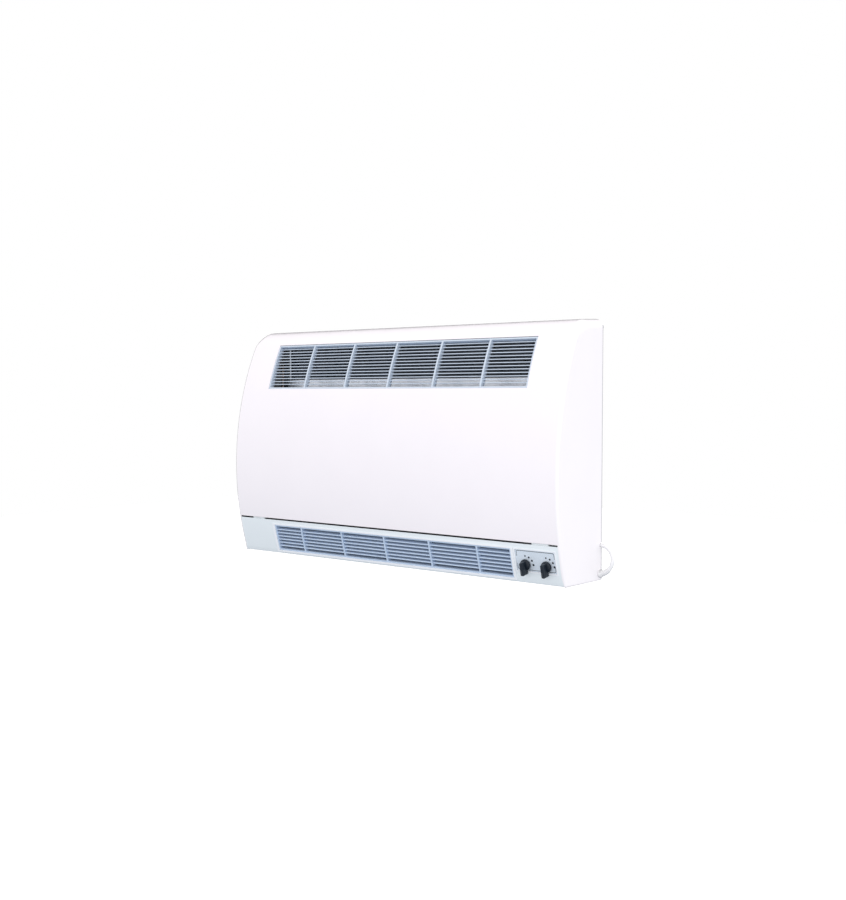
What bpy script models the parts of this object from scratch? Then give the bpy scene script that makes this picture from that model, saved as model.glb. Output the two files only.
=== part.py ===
"""Low-level wall-mounted fan convector heater with a bowed front and a short mains flex.

X runs along the width, +Y points into the wall and +Z up. The front bows towards -Y.
The origin is the middle of the back plate's wall face, so the part hangs on it.
Everything is modelled above the underside of the casing and lowered by an empty.
Every length is in metres, written as millimetres times MM.
"""

import math

import bmesh
import bpy
from mathutils import Vector

MM = 0.001
GAP = 0.3 * MM

# Casing
WIDTH = 745 * MM
HEIGHT = 430 * MM
DEPTH = 137 * MM
BOW_RADIUS = 530 * MM
BOW_HEIGHT = 168 * MM
SHEET = 1.5 * MM
MOULDING = 2 * MM
TOP_START = 401.4 * MM
TOP_FILLET = 47.2 * MM
TOP_TILT = math.radians(87)
SEAM_LOW = 66.4 * MM
SEAM_HIGH = 69.4 * MM
LIP = 14 * MM
FASCIA_FOOT = 2.5 * MM
END_ROUNDING = 7 * MM
TOP_ROUNDING = 16 * MM
BOTTOM_ROUNDING = 2.5 * MM

# Grilles
BAY = 102.5 * MM
RIM = 2.6 * MM
MULLION = 2.4 * MM
GRILLE_FRONT = 0.8 * MM
GRILLE_BACK = 9 * MM
INLET_HALF = 300 * MM
INLET_LOW = 316.5 * MM
INLET_HIGH = 400.6 * MM
INLET_SLOTS = 14
OUTLET_HALF = 275 * MM
OUTLET_LOW = 7 * MM
OUTLET_HIGH = 57 * MM
OUTLET_SLOTS = 7
SLOT_SHARE = 0.65

# Controls
CONTROL_LEFT = 282.7 * MM
CONTROL_RIGHT = 360 * MM
CONTROL_LOW = 21 * MM
DIAL_Z = 32.3 * MM
SPEED_X = 301.5 * MM
THERMOSTAT_X = 341.5 * MM
DIAL_RADIUS = 9.8 * MM
SPINDLE_RADIUS = 3 * MM

# Chassis
BACK_HALF = 296 * MM
SIDE_X = 289 * MM
END_FLANGE = 15 * MM
BACK_LOW = 8 * MM
BACK_HIGH = 421.5 * MM

# Heat exchanger
FIN_BACK = -14 * MM
FIN_FRONT = -68 * MM
FIN_LOW = 250 * MM
FIN_HIGH = 392 * MM
ROW_FRONT = -54 * MM
ROW_BACK = -28 * MM
LEVEL_LOW = 264 * MM
LEVEL_STEP = 28 * MM
LEVELS = 5
PIPE_RADIUS = 5 * MM
HOLE_RADIUS = 5.3 * MM
TUBE_END = -297 * MM
FLOW_X = -328 * MM
RETURN_X = -350 * MM
TAIL_Z = 150 * MM

# Fan
FAN_Y = -58 * MM
FAN_Z = 78 * MM
FAN_RADIUS = 30 * MM
FAN_HALF = 280 * MM
FAN_BLADES = 14
SHAFT_RADIUS = 4 * MM

# Mains flex
FLEX_RADIUS = 3.25 * MM
FLEX_BEND = 23 * MM
GLAND_Y = -8 * MM
GLAND_Z = 11.5 * MM
NOTCH_Y = -4.2 * MM
STOW_X = 339.25 * MM
COIL_X = 336 * MM
COIL_Z = 140 * MM
COIL_MID = 35.75 * MM
PEG_RADIUS = 3.5 * MM
NOTCH_DEPTH = NOTCH_Y - FLEX_RADIUS - 1 * MM
SLEEVE_ANGLE = 48

# Base fixings
SCREW_X = 240 * MM
SCREW_Y = -90 * MM
ALONG_X = (0, math.pi / 2, 0)

FRAME = None
MATERIALS = {}


# ---------------------------------------------------------------- scene helpers


def clear_scene():
    for obj in list(bpy.data.objects):
        bpy.data.objects.remove(obj, do_unlink=True)


def make_material(name, colour, roughness, metallic=0.0):
    material = bpy.data.materials.new(name)
    material.use_nodes = True
    shader = material.node_tree.nodes["Principled BSDF"]
    shader.inputs["Base Color"].default_value = (*colour, 1.0)
    shader.inputs["Roughness"].default_value = roughness
    shader.inputs["Metallic"].default_value = metallic
    MATERIALS[name] = material


def add_object(name, data, material, location=(0, 0, 0), rotation=(0, 0, 0)):
    obj = bpy.data.objects.new(name, data)
    bpy.context.scene.collection.objects.link(obj)
    obj.location = location
    obj.rotation_euler = rotation
    obj.parent = FRAME
    data.materials.append(MATERIALS[material])
    return obj


def add_mesh(name, bm, material, location=(0, 0, 0), rotation=(0, 0, 0), smooth=None):
    """Store a bmesh as an object, turned right side out."""
    if bm.calc_volume(signed=True) < 0:
        bmesh.ops.reverse_faces(bm, faces=bm.faces)
    mesh = bpy.data.meshes.new(name)
    bm.to_mesh(mesh)
    bm.free()
    if smooth is not None:
        mesh.shade_smooth()
        mesh.set_sharp_from_angle(angle=math.radians(smooth))
    return add_object(name, mesh, material, location, rotation)


def make_cutter(name, bm, location=(0, 0, 0), rotation=(0, 0, 0)):
    """Store a bmesh as a hidden wire object that Boolean modifiers use."""
    cutter = add_mesh(name, bm, "cutter", location, rotation)
    cutter.hide_render = True
    cutter.display_type = "WIRE"
    return cutter


def add_boolean(obj, cutter, operation="DIFFERENCE"):
    modifier = obj.modifiers.new(cutter.name, "BOOLEAN")
    modifier.operation = operation
    modifier.object = cutter
    modifier.solver = "EXACT"


# ---------------------------------------------------------------- solid builders

CELL_FACES = (
    ((-1, 0, 0), ((0, 0, 0), (0, 0, 1), (0, 1, 1), (0, 1, 0))),
    ((1, 0, 0), ((1, 0, 0), (1, 1, 0), (1, 1, 1), (1, 0, 1))),
    ((0, -1, 0), ((0, 0, 0), (1, 0, 0), (1, 0, 1), (0, 0, 1))),
    ((0, 1, 0), ((0, 1, 0), (0, 1, 1), (1, 1, 1), (1, 1, 0))),
    ((0, 0, -1), ((0, 0, 0), (0, 1, 0), (1, 1, 0), (1, 0, 0))),
    ((0, 0, 1), ((0, 0, 1), (1, 0, 1), (1, 1, 1), (0, 1, 1))),
)


def cell_solid(us, vs, ws, place, is_solid=None, wrap=False):
    """Skin the solid cells of a grid whose corners place() puts in space.

    us, vs and ws are the grid's stations; is_solid(i, j, k) says whether a cell is
    material; wrap joins the last v station to the first.
    """
    counts = (len(us) - 1, len(vs) if wrap else len(vs) - 1, len(ws) - 1)
    filled = set()
    for i in range(counts[0]):
        for j in range(counts[1]):
            for k in range(counts[2]):
                if is_solid is None or is_solid(i, j, k):
                    filled.add((i, j, k))
    bm = bmesh.new()
    corners = {}

    def corner(i, j, k):
        key = (i, j % len(vs), k)
        if key not in corners:
            corners[key] = bm.verts.new(place(us[i], vs[key[1]], ws[k]))
        return corners[key]

    for i, j, k in sorted(filled):
        for (di, dj, dk), offsets in CELL_FACES:
            beside = (j + dj) % counts[1] if wrap else j + dj
            if (i + di, beside, k + dk) in filled:
                continue
            bm.faces.new([corner(i + a, j + b, k + c) for a, b, c in offsets])
    return bm


def straight(x, y, z):
    return (x, y, z)


def block(low, high):
    """A plain box between two corners."""
    return cell_solid(*[(a, b) for a, b in zip(low, high)], straight)


def turned(profile, segments=20):
    """Turn a closed list of (radius, height) points round the local Z axis."""
    bm = bmesh.new()
    rings = []
    for radius, height in profile:
        if radius == 0:
            rings.append([bm.verts.new((0, 0, height))])
            continue
        ring = []
        for s in range(segments):
            angle = math.tau * s / segments
            ring.append(bm.verts.new((radius * math.cos(angle), radius * math.sin(angle), height)))
        rings.append(ring)
    for a, b in zip(rings, rings[1:] + rings[:1]):
        if len(a) == 1 and len(b) == 1:
            continue
        for s in range(segments):
            t = (s + 1) % segments
            quad = [a[s % len(a)], a[t % len(a)], b[t % len(b)], b[s % len(b)]]
            bm.faces.new(list(dict.fromkeys(quad)))
    return bm


def rod(radius, low, high, bore=0.0, segments=20):
    """A straight round bar, or a tube where it has a bore."""
    inner = bore if bore else 0
    return turned([(inner, low), (radius, low), (radius, high), (inner, high)], segments)


def prism(outline, low, high):
    """Extrude an outline in the YZ plane from x = low to x = high."""
    bm = bmesh.new()
    near = [bm.verts.new((low, y, z)) for y, z in outline]
    far = [bm.verts.new((high, y, z)) for y, z in outline]
    bm.faces.new(near)
    bm.faces.new(list(reversed(far)))
    for i in range(len(outline)):
        j = (i + 1) % len(outline)
        bm.faces.new([near[j], near[i], far[i], far[j]])
    return bm


def offset_path(path, distance):
    """Move an open (y, z) path to its right-hand side, keeping its corners mitred."""
    normals = []
    for (y0, z0), (y1, z1) in zip(path, path[1:]):
        length = math.hypot(y1 - y0, z1 - z0)
        normals.append(((z1 - z0) / length, -(y1 - y0) / length))
    moved = []
    for i, (y, z) in enumerate(path):
        a = normals[max(i - 1, 0)]
        b = normals[min(i, len(normals) - 1)]
        scale = distance / (1 + a[0] * b[0] + a[1] * b[1])
        moved.append((y + (a[0] + b[0]) * scale, z + (a[1] + b[1]) * scale))
    return moved


def folded_sheet(path, thickness, stations, is_open=None, edge=None):
    """A sheet that follows a (y, z) path and runs along X.

    is_open(x, z) says where a window is; edge(i) gives the sheet's half width at
    the path's point i, in place of the outermost stations.
    """
    inner = offset_path(path, thickness)

    def place(u, v, w):
        y, z = (path if w == 0 else inner)[v]
        x = stations[u]
        if edge and u in (0, len(stations) - 1):
            x = math.copysign(edge(v), x)
        return (x, min(y, 0), z)

    def is_solid(i, j, k):
        x = (stations[i] + stations[i + 1]) / 2
        z = (path[j][1] + path[j + 1][1]) / 2
        return not (is_open and is_open(x, z))

    return cell_solid(range(len(stations)), range(len(path)), (0, 1), place, is_solid)


def swept_tube(points, radii, segments=10):
    """A solid bar through the points, with a radius at each of them."""
    bm = bmesh.new()
    rings = []
    side = Vector((0, 1, 0))
    for i, point in enumerate(points):
        ahead = points[min(i + 1, len(points) - 1)]
        behind = points[max(i - 1, 0)]
        along = (Vector(ahead) - Vector(behind)).normalized()
        side = (side - along * side.dot(along)).normalized()
        other = along.cross(side)
        ring = []
        for s in range(segments):
            angle = math.tau * s / segments
            spoke = side * math.cos(angle) + other * math.sin(angle)
            ring.append(bm.verts.new(Vector(point) + spoke * radii[i]))
        rings.append(ring)
    for a, b in zip(rings, rings[1:]):
        for s in range(segments):
            t = (s + 1) % segments
            bm.faces.new([a[s], a[t], b[t], b[s]])
    bm.faces.new(list(reversed(rings[0])))
    bm.faces.new(rings[-1])
    return bm


def arc(centre, across, up, radius, start, end, steps):
    """Points on a circle, from one angle in degrees to another."""
    points = []
    for i in range(steps + 1):
        angle = math.radians(start + (end - start) * i / steps)
        offset = Vector(across) * math.cos(angle) + Vector(up) * math.sin(angle)
        points.append(Vector(centre) + offset * radius)
    return points


def smooth_curve(route, steps):
    """Points on a Catmull-Rom curve through the route's own points."""
    route = [Vector(p) for p in route]
    ends = [route[0] * 2 - route[1]] + route + [route[-1] * 2 - route[-2]]
    points = []
    for a, b, c, d in zip(ends, ends[1:], ends[2:], ends[3:]):
        for i in range(steps):
            t = i / steps
            value = b * 2 + (c - a) * t + (a * 2 - b * 5 + c * 4 - d) * t**2
            points.append((value + (b * 3 - a - c * 3 + d) * t**3) / 2)
    return points + [route[-1]]


def add_cord(name, points, radius, material, resolution=2):
    """A round tube drawn as a curve with filled ends."""
    curve = bpy.data.curves.new(name, "CURVE")
    curve.dimensions = "3D"
    curve.bevel_depth = radius
    curve.bevel_resolution = resolution
    curve.use_fill_caps = True
    spline = curve.splines.new("POLY")
    spline.points.add(len(points) - 1)
    for spline_point, point in zip(spline.points, points):
        spline_point.co = (*point, 1)
    return add_object(name, curve, material)


# ---------------------------------------------------------------- casing outline


def bow_tilt(z):
    """How far the bowed front leans back at a height, as an angle."""
    return math.asin((z - BOW_HEIGHT) / BOW_RADIUS)


def bow_point(z, inset=0.0):
    """The (y, z) point of the bowed front at a height, moved inward by an inset."""
    tilt = bow_tilt(z)
    y = -DEPTH + BOW_RADIUS - (BOW_RADIUS - inset) * math.cos(tilt)
    return (y, BOW_HEIGHT + (BOW_RADIUS - inset) * math.sin(tilt))


def bow_place(x, z, inset):
    y, height = bow_point(z, inset)
    return (x, y, height)


def even(low, high, count):
    return [low + (high - low) * i / count for i in range(count + 1)]


def top_path():
    """The rounded shoulder and the nearly flat top, up to the wall."""
    start = bow_tilt(TOP_START)
    y, z = bow_point(TOP_START, TOP_FILLET)
    points = []
    for angle in even(start, TOP_TILT, 8)[1:]:
        points.append((y - TOP_FILLET * math.cos(angle), z + TOP_FILLET * math.sin(angle)))
    y, z = points[-1]
    points.append((0, z - y / math.tan(TOP_TILT)))
    return points


def end_outline():
    """The casing's side view from the rear bottom corner round to the rear top."""
    foot = bow_point(0)[0]
    points = [(0, 0), (foot + 4 * MM, 0), (foot + 1.2 * MM, 0.8 * MM)]
    heights = even(3 * MM, TOP_START, 18)
    return points + [bow_point(z) for z in heights] + top_path()


def end_rounding(y, z):
    """The radius that blends the front, top or bottom into the end of the casing."""
    if z < 3 * MM:
        return BOTTOM_ROUNDING if y > bow_point(0)[0] + 2 * MM else END_ROUNDING / 2
    blend = min(max((z - 395 * MM) / (425 * MM - 395 * MM), 0), 1)
    return END_ROUNDING + (TOP_ROUNDING - END_ROUNDING) * blend * blend * (3 - 2 * blend)


# ---------------------------------------------------------------- casing


def make_front_panel():
    heights = even(SEAM_HIGH, INLET_LOW, 9) + even(INLET_LOW, INLET_HIGH, 3)[1:] + [TOP_START]
    path = [(bow_point(SEAM_HIGH)[0] + LIP, SEAM_HIGH)]
    path += [bow_point(z) for z in heights] + top_path()
    stations = (-1.0, -INLET_HALF, INLET_HALF, 1.0)

    def edge(i):
        return WIDTH / 2 - end_rounding(*path[i]) - GAP

    def is_open(x, z):
        return abs(x) < INLET_HALF and INLET_LOW < z < INLET_HIGH

    bm = folded_sheet(path, SHEET, stations, is_open, edge)
    add_mesh("front_panel", bm, "white_enamel", smooth=25)


def make_lower_fascia():
    heights = even(OUTLET_LOW, CONTROL_LOW, 2) + even(CONTROL_LOW, OUTLET_HIGH, 4)[1:]
    foot_y = bow_point(FASCIA_FOOT)[0]
    half = WIDTH / 2 - END_ROUNDING - GAP
    stations = (-half, -OUTLET_HALF, OUTLET_HALF, CONTROL_LEFT, CONTROL_RIGHT, half)
    path = [(foot_y + 30 * MM, FASCIA_FOOT), (foot_y, FASCIA_FOOT)]
    path += [bow_point(z) for z in heights] + [bow_point(SEAM_LOW)]
    path.append((bow_point(SEAM_LOW)[0] + LIP, SEAM_LOW))

    def is_open(x, z):
        if abs(x) < OUTLET_HALF:
            return OUTLET_LOW < z < OUTLET_HIGH
        return CONTROL_LEFT < x < CONTROL_RIGHT and CONTROL_LOW < z < OUTLET_HIGH

    sheet = folded_sheet(path, MOULDING, stations, is_open)
    fascia = add_mesh("lower_fascia", sheet, "white_moulding", smooth=25)
    for name, x in (("left", -1), ("right", 1)):
        hole = rod(2.4 * MM, -5 * MM, 12 * MM)
        cutter = make_cutter(f"fascia_screw_hole_{name}", hole, (x * SCREW_X, SCREW_Y, 0))
        add_boolean(fascia, cutter)


def end_cap_mesh(side, notch):
    """One rounded end of the casing, as an open-backed shell.

    side is 1 on the right and -1 on the left; notch is the (low, high) of a slot in
    the rear edge, or None.
    """
    outline = end_outline()
    inside = offset_path(outline, MOULDING)
    angles = [math.radians(a) for a in (0, 25, 50, 70, 90)]
    bm = bmesh.new()

    def ring(points, wall, angle):
        verts = []
        for (y, z), (iy, iz), point in zip(outline, inside, points):
            radius = end_rounding(y, z)
            inward = Vector((iy - y, iz - z)) / MOULDING
            reach = (radius - wall) * (1 - math.cos(angle))
            x = WIDTH / 2 - radius + (radius - wall) * math.sin(angle)
            spot = Vector(point) + inward * reach
            verts.append(bm.verts.new((side * x, min(spot.x, 0), max(spot.y, 0))))
        return verts

    shells = []
    for points, wall in ((outline, 0.0), (inside, MOULDING)):
        shells.append([ring(points, wall, a) for a in angles])
    for rings, flip in zip(shells, (False, True)):
        for a, b in zip(rings, rings[1:]):
            for i in range(len(outline) - 1):
                quad = [a[i], a[i + 1], b[i + 1], b[i]]
                bm.faces.new(list(reversed(quad)) if flip else quad)
    outer, inner = shells
    for i in range(len(outline) - 1):
        bm.faces.new([outer[0][i], inner[0][i], inner[0][i + 1], outer[0][i + 1]])
    walls = []
    for rings, wall in zip(shells, (0.0, MOULDING)):
        rear = []
        if notch:
            corners = ((0, notch[1]), (NOTCH_DEPTH, notch[1]), (NOTCH_DEPTH, notch[0]), (0, notch[0]))
            rear = [bm.verts.new((side * (WIDTH / 2 - wall), y, z)) for y, z in corners]
        walls.append(rings[-1] + rear)
    bm.faces.new(walls[0])
    bm.faces.new(list(reversed(walls[1])))
    for a, b in zip(outer, outer[1:]):
        i = outer.index(a)
        c, d = inner[i], inner[i + 1]
        bm.faces.new([b[0], d[0], c[0], a[0]])
        bm.faces.new([a[-1], c[-1], d[-1], b[-1]])
    start = len(outline) - 1
    rim = list(range(start, len(walls[0]))) + [0]
    for i, j in zip(rim, rim[1:]):
        bm.faces.new([walls[0][i], walls[1][i], walls[1][j], walls[0][j]])
    return bm


def make_end_caps():
    add_mesh("left_end_cap", end_cap_mesh(-1, None), "white_enamel", smooth=35)
    notch_mid = GLAND_Z + 2 * FLEX_BEND
    notch = (notch_mid - FLEX_RADIUS - 1 * MM, notch_mid + FLEX_RADIUS + 1 * MM)
    cap = add_mesh("right_end_cap", end_cap_mesh(1, notch), "white_enamel", smooth=35)
    hole = rod(5 * MM, -10 * MM, 10 * MM)
    add_boolean(cap, make_cutter("gland_hole", hole, (WIDTH / 2, GLAND_Y, GLAND_Z), ALONG_X))


def make_base_tray():
    half = WIDTH / 2 - BOTTOM_ROUNDING - GAP
    low = FASCIA_FOOT + MOULDING + GAP
    path = [(-98 * MM, low + 3 * MM), (-96 * MM, low), (-2 * MM, low)]
    sheet = folded_sheet(path, -SHEET, (-half + MOULDING, half - MOULDING))
    tray = add_mesh("base_tray", sheet, "galvanised_steel")
    for name, x in (("left", -1), ("right", 1)):
        hole = rod(2.1 * MM, -5 * MM, 15 * MM)
        cutter = make_cutter(f"tray_screw_hole_{name}", hole, (x * SCREW_X, SCREW_Y, 0))
        add_boolean(tray, cutter)


def make_casing_screws():
    """Two pan-head screws that hold the fascia's foot to the base tray."""
    head_top = FASCIA_FOOT - GAP
    profile = [
        (0, head_top - 1.8 * MM),
        (2.8 * MM, head_top - 1.8 * MM),
        (3.8 * MM, head_top - 0.9 * MM),
        (3.8 * MM, head_top),
        (1.7 * MM, head_top),
        (1.7 * MM, head_top + 8 * MM),
        (0, head_top + 9 * MM),
    ]
    for name, x in (("left", -1), ("right", 1)):
        screw = turned(profile, 12)
        add_mesh(f"casing_screw_{name}", screw, "zinc_screw", (x * SCREW_X, SCREW_Y, 0), smooth=40)


def grille_mesh(half, low, high, slots):
    """A curved lattice: an outer rim, five mullions and level blades between slots."""
    clear = 0.4 * MM
    xs = [-half + clear, -half + clear + RIM]
    for i in range(-2, 3):
        xs += [i * BAY - MULLION / 2, i * BAY + MULLION / 2]
    xs += [half - clear - RIM, half - clear]
    zs = [low + clear, low + clear + RIM]
    first = zs[-1]
    pitch = (high - clear - RIM - first) / slots
    for i in range(slots):
        slot = first + i * pitch + pitch * (1 - SLOT_SHARE) / 2
        zs += [slot, slot + pitch * SLOT_SHARE]
    zs += [high - clear - RIM, high - clear]

    def place(x, z, inset):
        if zs[1] < z < zs[-2]:
            return (x, bow_point(z)[0] + inset, z)
        return bow_place(x, z, inset)

    def is_solid(i, j, k):
        return i % 2 == 0 or j % 2 == 1 or j in (0, len(zs) - 2)

    return cell_solid(xs, zs, (GRILLE_FRONT, GRILLE_BACK), place, is_solid)


def make_grilles():
    inlet = grille_mesh(INLET_HALF, INLET_LOW, INLET_HIGH, INLET_SLOTS)
    add_mesh("inlet_grille", inlet, "silver_moulding", smooth=30)
    outlet = grille_mesh(OUTLET_HALF, OUTLET_LOW, OUTLET_HIGH, OUTLET_SLOTS)
    add_mesh("outlet_grille", outlet, "silver_moulding", smooth=30)


# ---------------------------------------------------------------- controls


def dial_point(x, depth):
    """A point on a dial's axis, at a depth behind the bowed front."""
    y, z = bow_point(DIAL_Z, depth)
    return Vector((x, y, z))


def dial_rotation():
    """Turns local +Z to point straight out of the front at the dials."""
    return (math.pi / 2 - bow_tilt(DIAL_Z), 0, 0)


def make_control_plate():
    clear = 0.4 * MM
    xs = (CONTROL_LEFT + clear, CONTROL_RIGHT - clear)
    zs = even(CONTROL_LOW + clear, OUTLET_HIGH - clear, 3)
    plate = add_mesh("control_plate", cell_solid(xs, zs, (1 * MM, 3 * MM), bow_place), "silver_plate")
    bracket = cell_solid((292 * MM, 358 * MM), (24 * MM, 58 * MM), (14 * MM, 15.2 * MM), bow_place)
    bracket = add_mesh("control_bracket", bracket, "galvanised_steel")
    for name, x in (("speed", SPEED_X), ("thermostat", THERMOSTAT_X)):
        hole = rod(4 * MM, -20 * MM, 10 * MM)
        cutter = make_cutter(f"{name}_spindle_hole", hole, dial_point(x, 0), dial_rotation())
        add_boolean(plate, cutter)
        add_boolean(bracket, cutter)


def knob_mesh():
    """A round skirt with a bar grip that hangs past its lower edge."""
    skirt = [
        (0, -0.6 * MM),
        (DIAL_RADIUS, -0.6 * MM),
        (DIAL_RADIUS, 3.2 * MM),
        (DIAL_RADIUS - 1.2 * MM, 5 * MM),
        (0, 5 * MM),
    ]
    return turned(skirt, 24)


def make_controls():
    for name, x in (("speed", SPEED_X), ("thermostat", THERMOSTAT_X)):
        where, facing = dial_point(x, 0), dial_rotation()
        knob = add_mesh(f"{name}_knob", knob_mesh(), "charcoal_knob", where, facing, smooth=35)
        bar = block((-3.6 * MM, -17 * MM, 1 * MM), (3.6 * MM, 8.5 * MM, 15 * MM))
        bmesh.ops.bevel(bar, geom=bar.edges, offset=1 * MM, segments=2, affect="EDGES", profile=0.5)
        add_boolean(knob, make_cutter(f"{name}_grip", bar, where, facing), "UNION")
        spindle = rod(SPINDLE_RADIUS, -15.7 * MM, -0.9 * MM, segments=12)
        add_mesh(f"{name}_spindle", spindle, "bright_steel", where, facing, smooth=35)
    switch = block((-9.8 * MM, -13 * MM, -38 * MM), (9.8 * MM, 13 * MM, -16 * MM))
    add_mesh("speed_switch", switch, "cream_plastic", dial_point(SPEED_X, 0), dial_rotation())
    body = block((-14 * MM, -13 * MM, -38 * MM), (14 * MM, 13 * MM, -16 * MM))
    add_mesh("room_thermostat", body, "cream_plastic", dial_point(THERMOSTAT_X, 0), dial_rotation())


def make_electrics():
    """The wiring box behind the controls, with what it holds."""
    wall = 1.2 * MM
    left, right, front, rear, low, high = [v * MM for v in (304, 352, -66, -14, 7, 58)]
    xs = (left, left + wall, right - wall, right)
    ys = (front, rear - wall, rear)
    zs = (low, low + wall, high - wall, high)

    def is_solid(i, j, k):
        return j == 1 or i != 1 or k != 1

    box = add_mesh("electrical_box", cell_solid(xs, ys, zs, straight, is_solid), "galvanised_steel")
    entry = rod(5 * MM, -6 * MM, 6 * MM, segments=12)
    where = (right, GLAND_Y - 16 * MM, GLAND_Z + 8 * MM)
    add_boolean(box, make_cutter("flex_entry_hole", entry, where, ALONG_X))
    lid = block((left, front - 2 * GAP - wall, low), (right, front - GAP, high))
    add_mesh("electrical_box_lid", lid, "galvanised_steel")
    terminals = block((310 * MM, -31 * MM, 12 * MM), (346 * MM, rear - wall - GAP, 27 * MM))
    add_mesh("terminal_block", terminals, "cream_plastic")
    can = rod(11.5 * MM, -20 * MM, 20 * MM)
    add_mesh("fan_capacitor", can, "cream_plastic", (328 * MM, -41 * MM, 41 * MM), ALONG_X, smooth=35)
    stat = rod(8 * MM, 0, 9 * MM, segments=16)
    where = (FLOW_X, ROW_FRONT - PIPE_RADIUS - GAP, 210 * MM)
    add_mesh("low_limit_thermostat", stat, "black_plastic", where, (math.pi / 2, 0, 0), smooth=35)


# ---------------------------------------------------------------- chassis


def make_back_plate():
    """The flanged plate that screws to the wall through four slots."""
    xs = [-BACK_HALF]
    for x in (-200 * MM, 200 * MM):
        xs += [x - 4 * MM, x + 4 * MM]
    xs.append(BACK_HALF)
    zs = [BACK_LOW, BACK_LOW + SHEET]
    for z in (70 * MM, 350 * MM):
        zs += [z - 9 * MM, z + 9 * MM]
    zs += [BACK_HIGH - SHEET, BACK_HIGH]
    ys = (-14 * MM, -SHEET, 0)

    def is_solid(i, j, k):
        if k in (0, len(zs) - 2):
            return True
        return j == 1 and not (i % 2 == 1 and k in (2, 4))

    add_mesh("back_plate", cell_solid(xs, ys, zs, straight, is_solid), "galvanised_steel")


def tube_spots():
    """The (y, z) of every tube that crosses the fins."""
    levels = [LEVEL_LOW + i * LEVEL_STEP for i in range(LEVELS)]
    return [(y, z) for z in levels for y in (ROW_FRONT, ROW_BACK)]


def make_chassis_sides():
    outline = [(-2, 16), (-2, 244), (-76, 244), (-111, 190), (-111, 72), (-96, 16)]
    outline = [(y * MM, z * MM) for y, z in outline]
    for name, side in (("left", -1), ("right", 1)):
        plate = prism(outline, side * SIDE_X, side * (SIDE_X + SHEET))
        plate = add_mesh(f"chassis_side_{name}", plate, "galvanised_steel")
        hole = rod(7 * MM, -10 * MM, 10 * MM)
        where = (side * SIDE_X, FAN_Y, FAN_Z)
        add_boolean(plate, make_cutter(f"shaft_hole_{name}", hole, where, ALONG_X))


def make_heat_exchanger():
    """Fins, end plates and the serpentine of tubes with its flow and return tails."""
    half = SIDE_X - 1 * MM
    fins = block((-half, FIN_FRONT, FIN_LOW), (half, FIN_BACK, FIN_HIGH))
    fins = add_mesh("fin_pack", fins, "fin_aluminium")
    plates = []
    for name, side in (("left", -1), ("right", 1)):
        xs = sorted(side * x for x in (SIDE_X, SIDE_X + SHEET, SIDE_X + END_FLANGE))
        wall = xs.index(side * SIDE_X) - (side < 0)
        ys = (-70 * MM, -70 * MM + SHEET, -2 * MM)
        zs = (244.6 * MM, 257 * MM, 400 * MM)

        def is_solid(i, j, k):
            return i == wall or (j == 0 and k == 1)

        plate = cell_solid(xs, ys, zs, straight, is_solid)
        plates.append(add_mesh(f"coil_end_plate_{name}", plate, "dark_steel"))
    for i, (y, z) in enumerate(tube_spots()):
        hole = rod(HOLE_RADIUS, -310 * MM, 310 * MM, segments=16)
        cutter = make_cutter(f"tube_hole_{i}", hole, (0, y, z), ALONG_X)
        for part in [fins] + plates:
            add_boolean(part, cutter)
    spread = (ROW_BACK - ROW_FRONT) / 2
    bend_x = SIDE_X + 7 * MM
    for i in range(LEVELS):
        z = LEVEL_LOW + i * LEVEL_STEP
        middle = (bend_x, (ROW_FRONT + ROW_BACK) / 2, z)
        points = [Vector((TUBE_END, ROW_FRONT, z))]
        points += arc(middle, (0, -1, 0), (1, 0, 0), spread, 0, 180, 8)
        points.append(Vector((TUBE_END, ROW_BACK, z)))
        add_cord(f"hairpin_tube_{i + 1}", points, PIPE_RADIUS, "copper")
    for i in range(LEVELS - 1):
        y = ROW_BACK if i % 2 == 0 else ROW_FRONT
        z = LEVEL_LOW + i * LEVEL_STEP
        middle = (TUBE_END - 3 * MM, y, z + LEVEL_STEP / 2)
        points = [Vector((TUBE_END - GAP, y, z))]
        points += arc(middle, (0, 0, -1), (-1, 0, 0), LEVEL_STEP / 2, 0, 180, 8)
        points.append(Vector((TUBE_END - GAP, y, z + LEVEL_STEP)))
        add_cord(f"return_bend_{i + 1}", points, PIPE_RADIUS, "copper")


def make_pipe_tails():
    highest = LEVEL_LOW + (LEVELS - 1) * LEVEL_STEP
    bend = 16 * MM
    tails = (("flow", FLOW_X, ROW_FRONT, LEVEL_LOW), ("return", RETURN_X, ROW_BACK, highest))
    for name, x, y, z in tails:
        middle = (x + bend, y, z - bend)
        points = [Vector((TUBE_END - GAP, y, z))]
        points += arc(middle, (0, 0, 1), (-1, 0, 0), bend, 0, 90, 6)
        points.append(Vector((x, y, TAIL_Z + GAP)))
        add_cord(f"{name}_pipe", points, PIPE_RADIUS, "copper")
        nut = turned(
            [
                (7 * MM, -24 * MM),
                (9 * MM, -24 * MM),
                (9 * MM, -16 * MM),
                (12 * MM, -15 * MM),
                (12 * MM, 0),
                (4 * MM, 0),
                (4 * MM, -10 * MM),
                (7 * MM, -12 * MM),
            ],
            6 * 2,
        )
        add_mesh(f"{name}_fitting", nut, "brass", (x, y, TAIL_Z), smooth=20)
    vent = turned(
        [
            (0, 0),
            (4.5 * MM, 0),
            (4.5 * MM, 6 * MM),
            (6 * MM, 7 * MM),
            (6 * MM, 12 * MM),
            (2.5 * MM, 12 * MM),
            (2.5 * MM, 16 * MM),
            (0, 16 * MM),
        ],
        12,
    )
    where = (-316 * MM, ROW_BACK, highest + PIPE_RADIUS + GAP)
    add_mesh("air_vent", vent, "brass", where, smooth=30)


# ---------------------------------------------------------------- fan


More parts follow.
